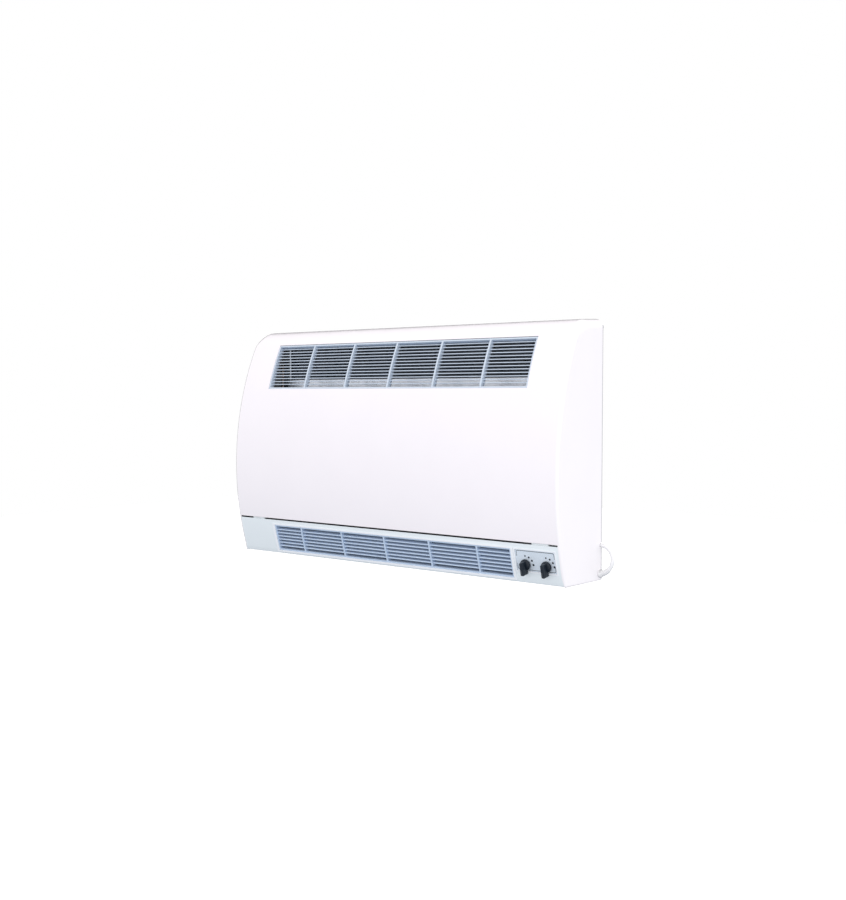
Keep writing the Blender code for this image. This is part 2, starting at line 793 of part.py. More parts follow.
def make_fan_ducts():
    half = SIDE_X - 0.5 * MM
    guide = [(-24 * MM, 140 * MM), (-26 * MM, 118 * MM)]
    for angle in range(40, -96, -15):
        turn = (40 - angle) / 135
        radius = FAN_RADIUS + (7 + 10.5 * turn * turn) * MM
        spot = math.radians(angle)
        guide.append((FAN_Y + radius * math.cos(spot), FAN_Z + radius * math.sin(spot)))
    guide.append((-96 * MM, 14 * MM))
    scroll = folded_sheet(guide, -1.2 * MM, (-half, half))
    add_mesh("fan_scroll", scroll, "galvanised_steel", smooth=30)
    tongue = [(-111, 60.5), (-98, 67), (-92.5, 75), (-94, 90), (-103, 130)]
    tongue += [(-106, 180), (-96, 222), (-72, 246), (-72, 334)]
    duct = folded_sheet([(y * MM, z * MM) for y, z in tongue], -1.2 * MM, (-half, half))
    add_mesh("front_duct", duct, "galvanised_steel", smooth=30)


def make_fan_rotor():
    discs = even(-FAN_HALF, FAN_HALF, 3)
    xs = [discs[0], discs[0] + 2 * MM]
    for x in discs[1:-1]:
        xs += [x - 1 * MM, x + 1 * MM]
    xs += [discs[-1] - 2 * MM, discs[-1]]
    blade = math.radians(8)
    angles = []
    for i in range(FAN_BLADES):
        start = math.tau * i / FAN_BLADES
        angles += [start, start + blade]
    radii = (SHAFT_RADIUS + GAP, FAN_RADIUS - 4.5 * MM, FAN_RADIUS)

    def place(x, angle, radius):
        return (x, radius * math.cos(angle), radius * math.sin(angle))

    def is_solid(i, j, k):
        return i % 2 == 0 or (k == 1 and j % 2 == 0)

    rotor = cell_solid(xs, angles, radii, place, is_solid, wrap=True)
    add_mesh("fan_impeller", rotor, "black_plastic", (0, FAN_Y, FAN_Z))
    shaft = rod(SHAFT_RADIUS, -301.7 * MM, 306 * MM, segments=12)
    add_mesh("fan_shaft", shaft, "bright_steel", (0, FAN_Y, FAN_Z), ALONG_X, smooth=35)


def make_fan_drive():
    motor = turned(
        [
            (0, -50 * MM),
            (26 * MM, -50 * MM),
            (32 * MM, -44 * MM),
            (32 * MM, -6 * MM),
            (26 * MM, 0),
            (0, 0),
        ],
        24,
    )
    axis = (0, FAN_Y, FAN_Z)
    add_mesh("fan_motor", motor, "dark_steel", (-302 * MM, *axis[1:]), ALONG_X, smooth=35)
    bracket = block((-300 * MM, -98 * MM, 38 * MM), (-291 * MM, -18 * MM, 118 * MM))
    bracket = add_mesh("motor_bracket", bracket, "galvanised_steel")
    hole = rod(22 * MM, -12 * MM, 12 * MM)
    add_boolean(bracket, make_cutter("motor_bracket_hole", hole, (-296 * MM, *axis[1:]), ALONG_X))
    carrier = block((291 * MM, -80 * MM, 62 * MM), (294 * MM, -36 * MM, 100 * MM))
    carrier = add_mesh("bearing_bracket", carrier, "galvanised_steel")
    hole = rod(11.3 * MM, -8 * MM, 8 * MM)
    add_boolean(carrier, make_cutter("bearing_hole", hole, (293 * MM, *axis[1:]), ALONG_X))
    bearing = rod(11 * MM, 291 * MM, 300 * MM, bore=SHAFT_RADIUS + 0.4 * MM, segments=24)
    add_mesh("shaft_bearing", bearing, "bronze", axis, ALONG_X, smooth=35)


# ---------------------------------------------------------------- mains flex


def flex_loop(start, end, steps):
    """Points on the half turn between the gland and the notch in the rear edge."""
    middle = (WIDTH / 2, 0, GLAND_Z + FLEX_BEND)
    points = arc(middle, (0, 0, -1), (1, 0, 0), FLEX_BEND, start, end, steps)
    for point in points:
        rise = (point.z - GLAND_Z) / (2 * FLEX_BEND)
        point.y = GLAND_Y + (NOTCH_Y - GLAND_Y) * rise
    return points


def make_flex():
    """The strain relief, the visible loop and the rest stowed as a coil on a peg."""
    sleeve = flex_loop(7, SLEEVE_ANGLE, 6)
    steps = (-12 * MM, 0.4 * MM, 0.5 * MM, 2.6 * MM)
    points = [Vector((WIDTH / 2 + step, GLAND_Y, GLAND_Z)) for step in steps]
    radii = [4.4 * MM, 4.4 * MM, 7 * MM, 7 * MM]
    taper = even(5.4 * MM, 3.9 * MM, len(sleeve) - 1)
    add_mesh("cable_gland", swept_tube(points + sleeve, radii + taper, 12), "white_rubber", smooth=40)

    route = flex_loop(SLEEVE_ANGLE + 2.2, 180, 8)
    middle = (STOW_X + FLEX_BEND, NOTCH_Y, GLAND_Z + 3 * FLEX_BEND)
    route += arc(middle, (0, 0, -1), (-1, 0, 0), FLEX_BEND, 0, 90, 5)
    route.append(Vector((STOW_X, NOTCH_Y, COIL_Z - 36 * MM)))
    route.append(Vector((STOW_X, NOTCH_Y, COIL_Z - 24 * MM)))
    add_cord("mains_flex", smooth_curve(route, 2), FLEX_RADIUS, "white_flex")

    centre_y = NOTCH_Y - COIL_MID - FLEX_RADIUS
    thick = 2 * FLEX_RADIUS
    flat = FLEX_RADIUS
    profile = [
        (COIL_MID - thick, -flat),
        (COIL_MID - flat, -thick),
        (COIL_MID + flat, -thick),
        (COIL_MID + thick, -flat),
        (COIL_MID + thick, flat),
        (COIL_MID + flat, thick),
        (COIL_MID - flat, thick),
        (COIL_MID - thick, flat),
    ]
    where = (COIL_X, centre_y, COIL_Z)
    add_mesh("flex_coil", turned(profile, 28), "white_flex", where, ALONG_X, smooth=50)

    peg_z = COIL_Z + COIL_MID - thick - GAP - PEG_RADIUS
    wall = WIDTH / 2 - MOULDING - GAP
    xs = (wall, wall - 1.5 * MM, wall - 3.5 * MM, COIL_X - thick - 0.6 * MM)
    peg = [Vector((x, centre_y, peg_z)) for x in xs]
    radii = (2.2 * PEG_RADIUS, 2.2 * PEG_RADIUS, PEG_RADIUS, PEG_RADIUS)
    add_mesh("flex_peg", swept_tube(peg, radii, 16), "white_moulding", smooth=40)

    reach = thick + GAP
    xs = [COIL_X - reach - 1.2 * MM, COIL_X - reach, COIL_X + reach, COIL_X + reach + 1.2 * MM]
    front = centre_y - COIL_MID
    ys = [front - reach - 1.2 * MM, front - reach, front + reach + 0.2 * MM, front + reach + 1.4 * MM]

    def is_solid(i, j, k):
        return i != 1 or j != 1

    tie = cell_solid(xs, ys, (COIL_Z - 2.5 * MM, COIL_Z + 2.5 * MM), straight, is_solid)
    add_mesh("flex_tie", tie, "black_plastic")


# ---------------------------------------------------------------- assembly


def make_materials():
    make_material("white_enamel", (0.87, 0.87, 0.88), 0.35)
    make_material("white_moulding", (0.84, 0.86, 0.88), 0.4)
    make_material("silver_moulding", (0.55, 0.62, 0.72), 0.4)
    make_material("silver_plate", (0.6, 0.65, 0.7), 0.4, 0.3)
    make_material("charcoal_knob", (0.03, 0.035, 0.045), 0.45)
    make_material("galvanised_steel", (0.6, 0.61, 0.63), 0.4, 0.9)
    make_material("bright_steel", (0.7, 0.7, 0.72), 0.25, 1.0)
    make_material("dark_steel", (0.2, 0.21, 0.22), 0.5, 0.6)
    make_material("zinc_screw", (0.72, 0.72, 0.74), 0.35, 1.0)
    make_material("fin_aluminium", (0.75, 0.76, 0.78), 0.35, 1.0)
    make_material("copper", (0.72, 0.38, 0.22), 0.3, 1.0)
    make_material("brass", (0.75, 0.58, 0.25), 0.3, 1.0)
    make_material("bronze", (0.5, 0.36, 0.2), 0.4, 1.0)
    make_material("cream_plastic", (0.78, 0.76, 0.68), 0.5)
    make_material("black_plastic", (0.03, 0.03, 0.03), 0.5)
    make_material("white_rubber", (0.8, 0.8, 0.8), 0.6)
    make_material("white_flex", (0.85, 0.85, 0.85), 0.5)
    make_material("cutter", (0.5, 0.5, 0.5), 0.5)


def make_frame():
    """The empty that puts the origin at the middle of the wall face."""
    frame = bpy.data.objects.new("heater_frame", None)
    bpy.context.scene.collection.objects.link(frame)
    frame.location = (0, 0, -HEIGHT / 2)
    return frame


clear_scene()
FRAME = make_frame()
make_materials()
make_front_panel()
make_lower_fascia()
make_end_caps()
make_base_tray()
make_casing_screws()
make_grilles()
make_control_plate()
make_controls()
make_electrics()
make_back_plate()
make_chassis_sides()
make_heat_exchanger()
make_pipe_tails()
make_fan_ducts()
make_fan_rotor()
make_fan_drive()
make_flex()
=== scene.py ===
import math

import bmesh
import bpy
from mathutils import Matrix, Vector


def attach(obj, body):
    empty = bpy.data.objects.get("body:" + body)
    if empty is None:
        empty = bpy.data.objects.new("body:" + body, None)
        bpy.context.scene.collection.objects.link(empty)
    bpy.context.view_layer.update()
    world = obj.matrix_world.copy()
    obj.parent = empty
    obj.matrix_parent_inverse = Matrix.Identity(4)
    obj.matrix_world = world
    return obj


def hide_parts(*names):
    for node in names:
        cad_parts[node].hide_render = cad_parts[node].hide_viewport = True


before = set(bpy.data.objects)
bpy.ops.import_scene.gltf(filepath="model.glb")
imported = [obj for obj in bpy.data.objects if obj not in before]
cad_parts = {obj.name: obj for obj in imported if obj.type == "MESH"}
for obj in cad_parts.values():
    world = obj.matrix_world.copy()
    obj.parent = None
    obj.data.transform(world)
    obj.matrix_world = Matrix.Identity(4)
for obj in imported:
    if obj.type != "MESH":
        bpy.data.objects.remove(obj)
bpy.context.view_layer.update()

MM = 0.001

# Lengths are in millimetres and heights are above the casing's underside. add_piece takes
# them to metres in the row frame, where the underside is at this height.
UNDERSIDE = -215

# The casing
WIDTH = 745
DEPTH = 137
BOW_RADIUS = 530
BOW_HEIGHT = 168
SHEET = 1.5
MOULDING = 2
TOP_START = 401.4
TOP_FILLET = 47.2
TOP_TILT = math.radians(87)
REAR_TAPER = 4.2
SEAM_LOW = 66.4
SEAM_HIGH = 69.4
LIP = 14
FASCIA_FOOT = 0.9
END_ROUNDING = 5.2
TOP_ROUNDING = 16
BOTTOM_ROUNDING = 2.5

# The grilles, as half a width and the heights of the edges, and the controls, as a left and
# a right edge and the heights of the edges
BAY = 102.5
INLET = (300, 316.5, 400.6)
OUTLET = (275, 7, 57)
CONTROL = (282.7, 360, 21, 57)
DIAL_Z = 32.3
DIALS = {"speed": 301.5, "thermostat": 341.5}
SEAM_TABS = ((-333, -302), (317, 349))

# The mains flex
FLEX_RADIUS = 3.25
FLEX_BEND = 23
GLAND_Y = -8
GLAND_Z = 11.5
NOTCH_Y = -4.2
STOW_X = 339.25
COIL_X = 336
COIL_Z = 140
COIL_MID = 35.75
SLEEVE_ANGLE = 48

# Inside
ROW_FRONT = -54
ROW_BACK = -28
LEVEL_LOW = 264
LEVEL_STEP = 28
PIPE_RADIUS = 5
TUBE_END = -297
FAN_Y = -58
FAN_Z = 78

RESTING_ON_X = Matrix.Rotation(math.pi / 2, 4, "Y")
FACING_FRONT = Matrix.Rotation(math.pi / 2, 4, "X")

# The camera, in metres, with its tilt down and its turn in degrees
CAMERA_PLACE = (1.3696, -1.6869, 0.0914)
CAMERA_LENS = 47.17
CAMERA_TILT = 2.71
CAMERA_TURN = 39.28

# The studio: sky colours from below to above, the dark side's direction, and for each lamp
# its place and size in metres and its power
LIGHT_LEVEL = 1.11
SKY = (
    (0.0, (0.16, 0.18, 0.21)),
    (0.36, (0.78, 0.82, 0.88)),
    (0.5, (0.98, 0.97, 1.0)),
    (0.7, (1.12, 1.1, 1.12)),
    (1.0, (1.15, 1.15, 1.15)),
)
FAR_SIDE = (-0.808, 0.587, 0.05)
FAR_SHADE = 0.05
LAMPS = (
    ("key", (1.7, -2.0, 1.7), 1.4, 5.5),
    ("side", (2.4, -0.9, 0.2), 1.0, 4.6),
    ("low", (0.85, -0.85, -0.5), 0.35, 0.8),
)


# ------------------------ materials


def new_material(name):
    material = bpy.data.materials.new(name)
    material.use_nodes = True
    tree = material.node_tree
    place = tree.nodes.new("ShaderNodeTexCoord").outputs["Object"]
    return material, tree, tree.nodes["Principled BSDF"], place


def wire(tree, node, inputs):
    """Set the node's inputs to values, or link them where a socket is given."""
    for name, value in inputs.items():
        if isinstance(value, bpy.types.NodeSocket):
            tree.links.new(value, node.inputs[name])
        else:
            node.inputs[name].default_value = value
    return node


def add_node(tree, kind, inputs):
    return wire(tree, tree.nodes.new("ShaderNode" + kind), inputs)


def stretched(tree, place, scale):
    return add_node(tree, "Mapping", {"Vector": place, "Scale": scale}).outputs["Vector"]


def noise(tree, place, scale, detail=3, rough=0.5):
    inputs = {"Vector": place, "Scale": scale, "Detail": detail, "Roughness": rough}
    return add_node(tree, "TexNoise", inputs).outputs["Fac"]


def cells(tree, place, scale):
    """A tone for each cell of a cellular texture."""
    node = add_node(tree, "TexVoronoi", {"Vector": place, "Scale": scale})
    return add_node(tree, "SeparateColor", {"Color": node.outputs["Color"]}).outputs["Red"]


def spread(tree, value, low, high, start=0.3, end=0.7):
    """Map the part of a texture between start and end to low..high."""
    inputs = {"Value": value, "From Min": start, "From Max": end, "To Min": low, "To Max": high}
    return add_node(tree, "MapRange", inputs).outputs["Result"]


def blend_colours(tree, value, stops):
    ramp = add_node(tree, "ValToRGB", {"Fac": value})
    elements = ramp.color_ramp.elements
    while len(elements) < len(stops):
        elements.new(0.5)
    for element, (position, colour) in zip(elements, stops):
        element.position = position
        element.color = (*colour, 1)
    return ramp.outputs["Color"]


def add_bump(tree, shader, value, strength, distance):
    """Stack one more layer of relief under the shader."""
    bump = add_node(tree, "Bump", {"Height": value, "Strength": strength, "Distance": distance})
    below = shader.inputs["Normal"].links
    if below:
        tree.links.new(below[0].from_socket, bump.inputs["Normal"])
    tree.links.new(bump.outputs["Normal"], shader.inputs["Normal"])


def grazing_gloss(tree, shader, start, end):
    """Let the gloss of the clear coat rise where the surface is seen at a low angle."""
    facing = add_node(tree, "LayerWeight", {"Blend": 0.5}).outputs["Facing"]
    gloss = spread(tree, facing, 0, 1, start, end)
    wire(tree, shader, {"Coat Weight": gloss, "Coat IOR": 4, "Coat Roughness": 0.12})


def painted(name, light, dark, roughness, peel=0.12, specular=0.5, rim=None):
    """Powder-coated or moulded surfaces: faint clouding, orange peel and fine grain."""
    material, tree, shader, place = new_material(name)
    colour = blend_colours(tree, noise(tree, place, 14, 4), ((0.35, dark), (0.68, light)))
    rough = spread(tree, noise(tree, place, 60, 4), roughness - 0.05, roughness + 0.05)
    wire(tree, shader, {"Base Color": colour, "Roughness": rough, "Specular IOR Level": specular})
    if rim:
        grazing_gloss(tree, shader, *rim)
    add_bump(tree, shader, noise(tree, place, 420, 2), peel, 0.0004)
    add_bump(tree, shader, noise(tree, place, 2600, 1), peel * 0.7, 0.00006)
    return material


def metal(name, light, dark, roughness, scale, brush=None, spangle=0, pit=0.15):
    """Metals: patchy tone and roughness, brushed or spangled where asked."""
    material, tree, shader, place = new_material(name)
    grain_place = stretched(tree, place, brush) if brush else place
    tone = cells(tree, place, spangle) if spangle else noise(tree, grain_place, scale, 5, 0.6)
    colour = blend_colours(tree, tone, ((0.2, dark), (0.8, light)))
    rough = spread(tree, tone, roughness - 0.08, roughness + 0.1, 0.1, 0.9)
    wire(tree, shader, {"Metallic": 1, "Base Color": colour, "Roughness": rough})
    add_bump(tree, shader, noise(tree, grain_place, scale * 12, 3), pit, 0.0001)
    return material


def cord_sheath(name, colour, grain):
    """Soft moulded sheathing with a faint grain."""
    material, tree, shader, place = new_material(name)
    stops = ((0.3, [c * 0.93 for c in colour]), (0.7, colour))
    clouds = blend_colours(tree, noise(tree, place, 70, 4), stops)
    wire(tree, shader, {"Base Color": clouds, "Roughness": 0.48, "Sheen Weight": 0.08})
    grazing_gloss(tree, shader, 0.3, 0.6)
    add_bump(tree, shader, noise(tree, place, 1500, 2), grain, 0.0001)
    return material


def grained_silver(name, light, dark, flake):
    """Satin silver lacquer: tiny flakes over a soft clouding."""
    material, tree, shader, place = new_material(name)
    flakes = noise(tree, place, 1900, 2, 0.7)
    colour = blend_colours(tree, flakes, ((0.3, dark), (0.7, light)))
    rough = spread(tree, noise(tree, place, 300, 3), 0.38, 0.5)
    wire(tree, shader, {"Metallic": 0.35, "Base Color": colour, "Roughness": rough})
    add_bump(tree, shader, flakes, flake, 0.00012)
    return material


# The maker of each finish and its values: the lighter and the darker tone, the roughness and
# what else it takes
FINISHES = {
    "white_enamel": (painted, (0.91, 0.875, 0.905), (0.90, 0.865, 0.895), 0.36, 0.12, 0.5, (0.7, 0.9)),
    "end_enamel": (painted, (0.905, 0.88, 0.90), (0.895, 0.87, 0.89), 0.36, 0.12, 0.5, (0.36, 0.52)),
    "side_enamel": (painted, (0.905, 0.88, 0.90), (0.895, 0.87, 0.89), 0.36, 0.12, 0.5, (0.65, 0.9)),
    "white_moulding": (painted, (0.80, 0.86, 0.885), (0.78, 0.84, 0.87), 0.44, 0.09),
    "silver_moulding": (grained_silver, (0.64, 0.715, 0.81), (0.56, 0.635, 0.73), 0.10),
    # Paler than the fascia: painted highlight on the beads round the openings and on the coil ends' front
    # edges
    "white_bead": (painted, (0.86, 0.89, 0.92), (0.84, 0.87, 0.905), 0.4, 0.09),
    # Painted shade: grey for the end caps' rear edges, standing for the dark line along the outline
    "edge_grey": (painted, (0.46, 0.47, 0.49), (0.43, 0.44, 0.46), 0.6, 0.2),
    "tinned_copper": (metal, (0.88, 0.87, 0.85), (0.66, 0.63, 0.60), 0.3, 45),
    # Dull grey primer, dark enough to be painted shade inside the casing and its seam; the knobs' pointer
    # lines use it too
    "grey_primer": (painted, (0.085, 0.09, 0.10), (0.065, 0.07, 0.078), 0.75, 0.3, 0.25),
    "silver_blue": (grained_silver, (0.60, 0.715, 0.865), (0.505, 0.62, 0.78), 0.10),
    "silver_plate": (grained_silver, (0.84, 0.91, 0.97), (0.58, 0.66, 0.75), 0.22),
    "charcoal_knob": (painted, (0.010, 0.018, 0.032), (0.006, 0.012, 0.021), 0.36, 0.2, 0.35),
    "galvanised_steel": (metal, (0.74, 0.76, 0.78), (0.55, 0.57, 0.60), 0.42, 60, None, 140),
    # A lighter copy of the galvanised steel: painted light on the duct sheet seen through the inlet's
    # lower slots
    "bright_zinc": (metal, (0.95, 0.97, 0.99), (0.86, 0.88, 0.91), 0.45, 60, None, 140),
    "bright_steel": (metal, (0.72, 0.72, 0.71), (0.58, 0.58, 0.58), 0.26, 200, (1, 8, 8)),
    "dark_steel": (painted, (0.045, 0.047, 0.05), (0.03, 0.031, 0.033), 0.5, 0.35),
    "zinc_screw": (metal, (0.78, 0.76, 0.68), (0.62, 0.61, 0.56), 0.3, 500),
    "fin_aluminium": (metal, (0.40, 0.46, 0.53), (0.30, 0.35, 0.41), 0.4, 120, (1, 1, 6)),
    "copper": (metal, (0.85, 0.72, 0.64), (0.58, 0.44, 0.37), 0.34, 45),
    "brass": (metal, (0.83, 0.66, 0.34), (0.66, 0.48, 0.22), 0.34, 160),
    "bronze": (metal, (0.62, 0.42, 0.22), (0.45, 0.29, 0.15), 0.45, 220, None, 0, 0.35),
    "cream_plastic": (painted, (0.74, 0.70, 0.58), (0.68, 0.64, 0.52), 0.5, 0.15),
    "black_plastic": (painted, (0.03, 0.03, 0.032), (0.02, 0.02, 0.021), 0.48, 0.3),
    "white_rubber": (cord_sheath, (0.82, 0.82, 0.83), 0.3),
    "white_flex": (cord_sheath, (0.86, 0.86, 0.87), 0.2),
    "brown_core": (cord_sheath, (0.16, 0.07, 0.035), 0.2),
    "blue_core": (cord_sheath, (0.03, 0.10, 0.36), 0.2),
    "green_core": (cord_sheath, (0.10, 0.34, 0.06), 0.2),
    "dot_ink": (painted, (0.02, 0.025, 0.035), (0.012, 0.016, 0.022), 0.5, 0.1, 0.2),
}
MATERIALS = {name: make(name, *values) for name, (make, *values) in FINISHES.items()}


# ------------------------ mesh builders


def new_object(name, data):
    made = bpy.data.objects.new(name, data)
    bpy.context.scene.collection.objects.link(made)
    return made


CELL_FACES = (
    ((-1, 0, 0), ((0, 0, 0), (0, 0, 1), (0, 1, 1), (0, 1, 0))),
    ((1, 0, 0), ((1, 0, 0), (1, 1, 0), (1, 1, 1), (1, 0, 1))),
    ((0, -1, 0), ((0, 0, 0), (1, 0, 0), (1, 0, 1), (0, 0, 1))),
    ((0, 1, 0), ((0, 1, 0), (0, 1, 1), (1, 1, 1), (1, 1, 0))),
    ((0, 0, -1), ((0, 0, 0), (0, 1, 0), (1, 1, 0), (1, 0, 0))),
    ((0, 0, 1), ((0, 0, 1), (1, 0, 1), (1, 1, 1), (0, 1, 1))),
)


def even(low, high, count):
    return [low + (high - low) * i / count for i in range(count + 1)]


def on_circle(u, v, radius, angles):
    """Flat points round (u, v), at angles in degrees."""
    turns = [math.radians(angle) for angle in angles]
    return [(u + radius * math.cos(turn), v + radius * math.sin(turn)) for turn in turns]


def straight(x, y, z):
    return (x, y, z)


def cell_solid(us, vs, ws, place=straight, is_solid=None):
    """Skin the solid cells of a grid whose corners place() puts in space."""
    counts = (len(us) - 1, len(vs) - 1, len(ws) - 1)
    filled = set()
    for i in range(counts[0]):
        for j in range(counts[1]):
            for k in range(counts[2]):
                if is_solid is None or is_solid(i, j, k):
                    filled.add((i, j, k))
    bm = bmesh.new()
    corners = {}

    def corner(i, j, k):
        if (i, j, k) not in corners:
            corners[i, j, k] = bm.verts.new(place(us[i], vs[j], ws[k]))
        return corners[i, j, k]

    for i, j, k in sorted(filled):
        for (di, dj, dk), offsets in CELL_FACES:
            if (i + di, j + dj, k + dk) not in filled:
                bm.faces.new([corner(i + a, j + b, k + c) for a, b, c in offsets])
    return bm


def round_edges(bm, edges, width, segments=2, profile=0.5):
    bmesh.ops.bevel(bm, geom=edges, offset=width, segments=segments, affect="EDGES", profile=profile)
    return bm


def block(low, high, bevel=0, segments=2):
    bm = cell_solid(*zip(low, high))
    if bevel:
        round_edges(bm, bm.edges[:], bevel, segments)
    return bm


def skin(bm, rings):
    """Join each ring of corners to the next. A ring can be a single corner."""
    for a, b in zip(rings, rings[1:]):
        count = max(len(a), len(b))
        if count == 1:
            continue
        for s in range(count):
            t = (s + 1) % count
            quad = [a[s % len(a)], a[t % len(a)], b[t % len(b)], b[s % len(b)]]
            bm.faces.new(list(dict.fromkeys(quad)))


def turned(profile, segments=48):
    """Turn a closed list of (radius, height) points round the local Z axis."""
    bm = bmesh.new()
    rings = []
    for radius, height in profile:
        ring = []
        for s in range(segments if radius else 1):
            angle = math.tau * s / segments
            ring.append(bm.verts.new((radius * math.cos(angle), radius * math.sin(angle), height)))
        rings.append(ring)
    skin(bm, rings + rings[:1])
    return bm


def extrude(bm, outline, low, high):
    """Add an outline in the YZ plane, drawn out from x = low to x = high."""
    near = [bm.verts.new((low, y, z)) for y, z in outline]
    far = [bm.verts.new((high, y, z)) for y, z in outline]
    bm.faces.new(near)
    bm.faces.new(list(reversed(far)))
    skin(bm, [far, near])


def prism(outline, low, high):
    bm = bmesh.new()
    extrude(bm, outline, low, high)
    return bm


def offset_path(path, distance):
    """Move an open (y, z) path to its right-hand side, keeping its corners mitred."""
    normals = []
    for (y0, z0), (y1, z1) in zip(path, path[1:]):
        length = math.hypot(y1 - y0, z1 - z0)
        normals.append(((z1 - z0) / length, -(y1 - y0) / length))
    shifted = []
    for i, (y, z) in enumerate(path):
        a = normals[max(i - 1, 0)]
        b = normals[min(i, len(normals) - 1)]
        scale = distance / (1 + a[0] * b[0] + a[1] * b[1])
        shifted.append((y + (a[0] + b[0]) * scale, z + (a[1] + b[1]) * scale))
    return shifted


def folded_sheet(path, thickness, stations, is_open=None, edge=None):
    """A sheet that follows a (y, z) path and runs along X, with windows where is_open."""
    inner = offset_path(path, thickness)

    def place(u, v, w):
        y, z = (path if w == 0 else inner)[v]
        x = stations[u]
        if edge and u in (0, len(stations) - 1):
            x = math.copysign(edge(v), x)
        return (x, min(y, 0), z)

    def is_solid(i, j, k):
        x = (stations[i] + stations[i + 1]) / 2
        z = (path[j][1] + path[j + 1][1]) / 2
        return not (is_open and is_open(x, z))

    return cell_solid(range(len(stations)), range(len(path)), (0, 1), place, is_solid)


def soften(bm, width, segments=2, chosen=lambda middle: True):
    """Round the sharp edges whose middles are chosen."""
    edges = []
    for edge in bm.edges:
        middle = (edge.verts[0].co + edge.verts[1].co) / 2
        if edge.is_manifold and edge.calc_face_angle(0) > 0.6 and chosen(middle):
            edges.append(edge)
    return round_edges(bm, edges, width, segments)


def merged(*meshes):
    """One bmesh holding all the given ones."""
    whole = bmesh.new()
    for bm in meshes:
        mesh = bpy.data.meshes.new("part")
        bm.to_mesh(mesh)
        whole.from_mesh(mesh)
        bpy.data.meshes.remove(mesh)
        bm.free()
    return whole


def moved(bm, matrix):
    bmesh.ops.transform(bm, matrix=matrix, verts=bm.verts)
    return bm


def arc(centre, across, up, radius, start, end, steps):
    """Points on a circle, from one angle in degrees to another."""
    points = []
    for angle in even(start, end, steps):
        turn = math.radians(angle)
        offset = Vector(across) * math.cos(turn) + Vector(up) * math.sin(turn)
        points.append(Vector(centre) + offset * radius)
    return points


def swept(points, radii, segments=24):
    """A round bar through the points, with a radius at each of them."""
    bm = bmesh.new()
    rings = []
    side = Vector((0, 1, 0.01))
    for i, point in enumerate(points):
        along = (points[min(i + 1, len(points) - 1)] - points[max(i - 1, 0)]).normalized()
        side = (side - along * side.dot(along)).normalized()
        other = along.cross(side)
        ring = []
        for s in range(segments):
            angle = math.tau * s / segments
            outward = side * math.cos(angle) + other * math.sin(angle)
            ring.append(bm.verts.new(point + outward * radii[i]))
        rings.append(ring)
    skin(bm, rings)
    bm.faces.new(list(reversed(rings[0])))
    bm.faces.new(rings[-1])
    return bm


def at(x, y, z):
    return Matrix.Translation((x, y, z))


def add_piece(name, bm, material, node=None, body="casing", smooth=30):
    """Store a bmesh as a piece of the object, in the row frame, in place of a CAD node."""
    bmesh.ops.recalc_face_normals(bm, faces=bm.faces)
    bm = moved(bm, Matrix.Scale(MM, 4) @ at(0, 0, UNDERSIDE))
    mesh = bpy.data.meshes.new(name)
    bm.to_mesh(mesh)
    bm.free()
    mesh.shade_smooth()
    mesh.set_sharp_from_angle(angle=math.radians(smooth))
    return settle(new_object(name, mesh), material, body, [node] if node else [])


def settle(piece, material, body, replaces):
    """Give a piece its material and body, and hide the CAD nodes it stands for."""
    piece.data.materials.append(MATERIALS[material])
    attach(piece, body)
    if replaces:
        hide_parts(*replaces)
    return piece


def shade_inside(piece):
    """Give the faces that look into the casing, and those in the seam, dull grey primer dark enough to be
    painted shade for the casing's unlit inside.
    """
    piece.data.materials.append(MATERIALS["grey_primer"])
    for face in piece.data.polygons:
        middle = face.center / MM
        outward = middle - Vector((0.85 * middle.x, -60, 0.8 * middle.z))
        is_rim = abs(face.normal.x) > 0.9 and abs(middle.x) < WIDTH / 2 - 2.85
        level = middle.z - UNDERSIDE
        in_seam = SEAM_LOW - 1 < level < SEAM_HIGH + 1 and abs(face.normal.x) < 0.5
        in_seam = in_seam and middle.y > bow_point(SEAM_LOW)[0] + 1.2
        if in_seam or (not is_rim and outward.normalized().dot(face.normal) < -0.35):
            face.material_index = 1


# ------------------------ camera and mains flex


def make_camera():
    data = bpy.data.cameras.new("camera")
    data.lens = CAMERA_LENS
    camera = new_object("camera", data)
    camera.location = CAMERA_PLACE
    camera.rotation_euler = (math.radians(90 - CAMERA_TILT), 0, math.radians(CAMERA_TURN))
    bpy.context.scene.camera = camera


def flex_loop(start, end, steps):
    """The half turn between the gland and the notch in the rear edge."""
    middle = (WIDTH / 2, 0, GLAND_Z + FLEX_BEND)
    points = arc(middle, (0, 0, -1), (1, 0, 0), FLEX_BEND, start, end, steps)
    for point in points:
        point.y = GLAND_Y + (NOTCH_Y - GLAND_Y) * (point.z - GLAND_Z) / (2 * FLEX_BEND)
    return points


def eased(value, start, end):
    """A smooth rise from 0 to 1 as the value goes from start to end."""
    t = min(max((value - start) / (end - start), 0), 1)
    return (1 - math.cos(math.pi * t)) / 2


def coil_point(turned_by):
    """The flex's place in its coil after an angle in degrees, two turns by two."""
    centre_y = NOTCH_Y - COIL_MID - FLEX_RADIUS
    column = 1 - 2 * eased(turned_by, 278, 326) + 2 * eased(turned_by, 863, 923)
    layer = 1 - 2 * eased(turned_by, 563, 638)
    radius = COIL_MID + FLEX_RADIUS * layer
    angle = math.radians(turned_by)
    y = centre_y + radius * math.cos(angle)
    return Vector((COIL_X + FLEX_RADIUS * column, y, COIL_Z + radius * math.sin(angle)))


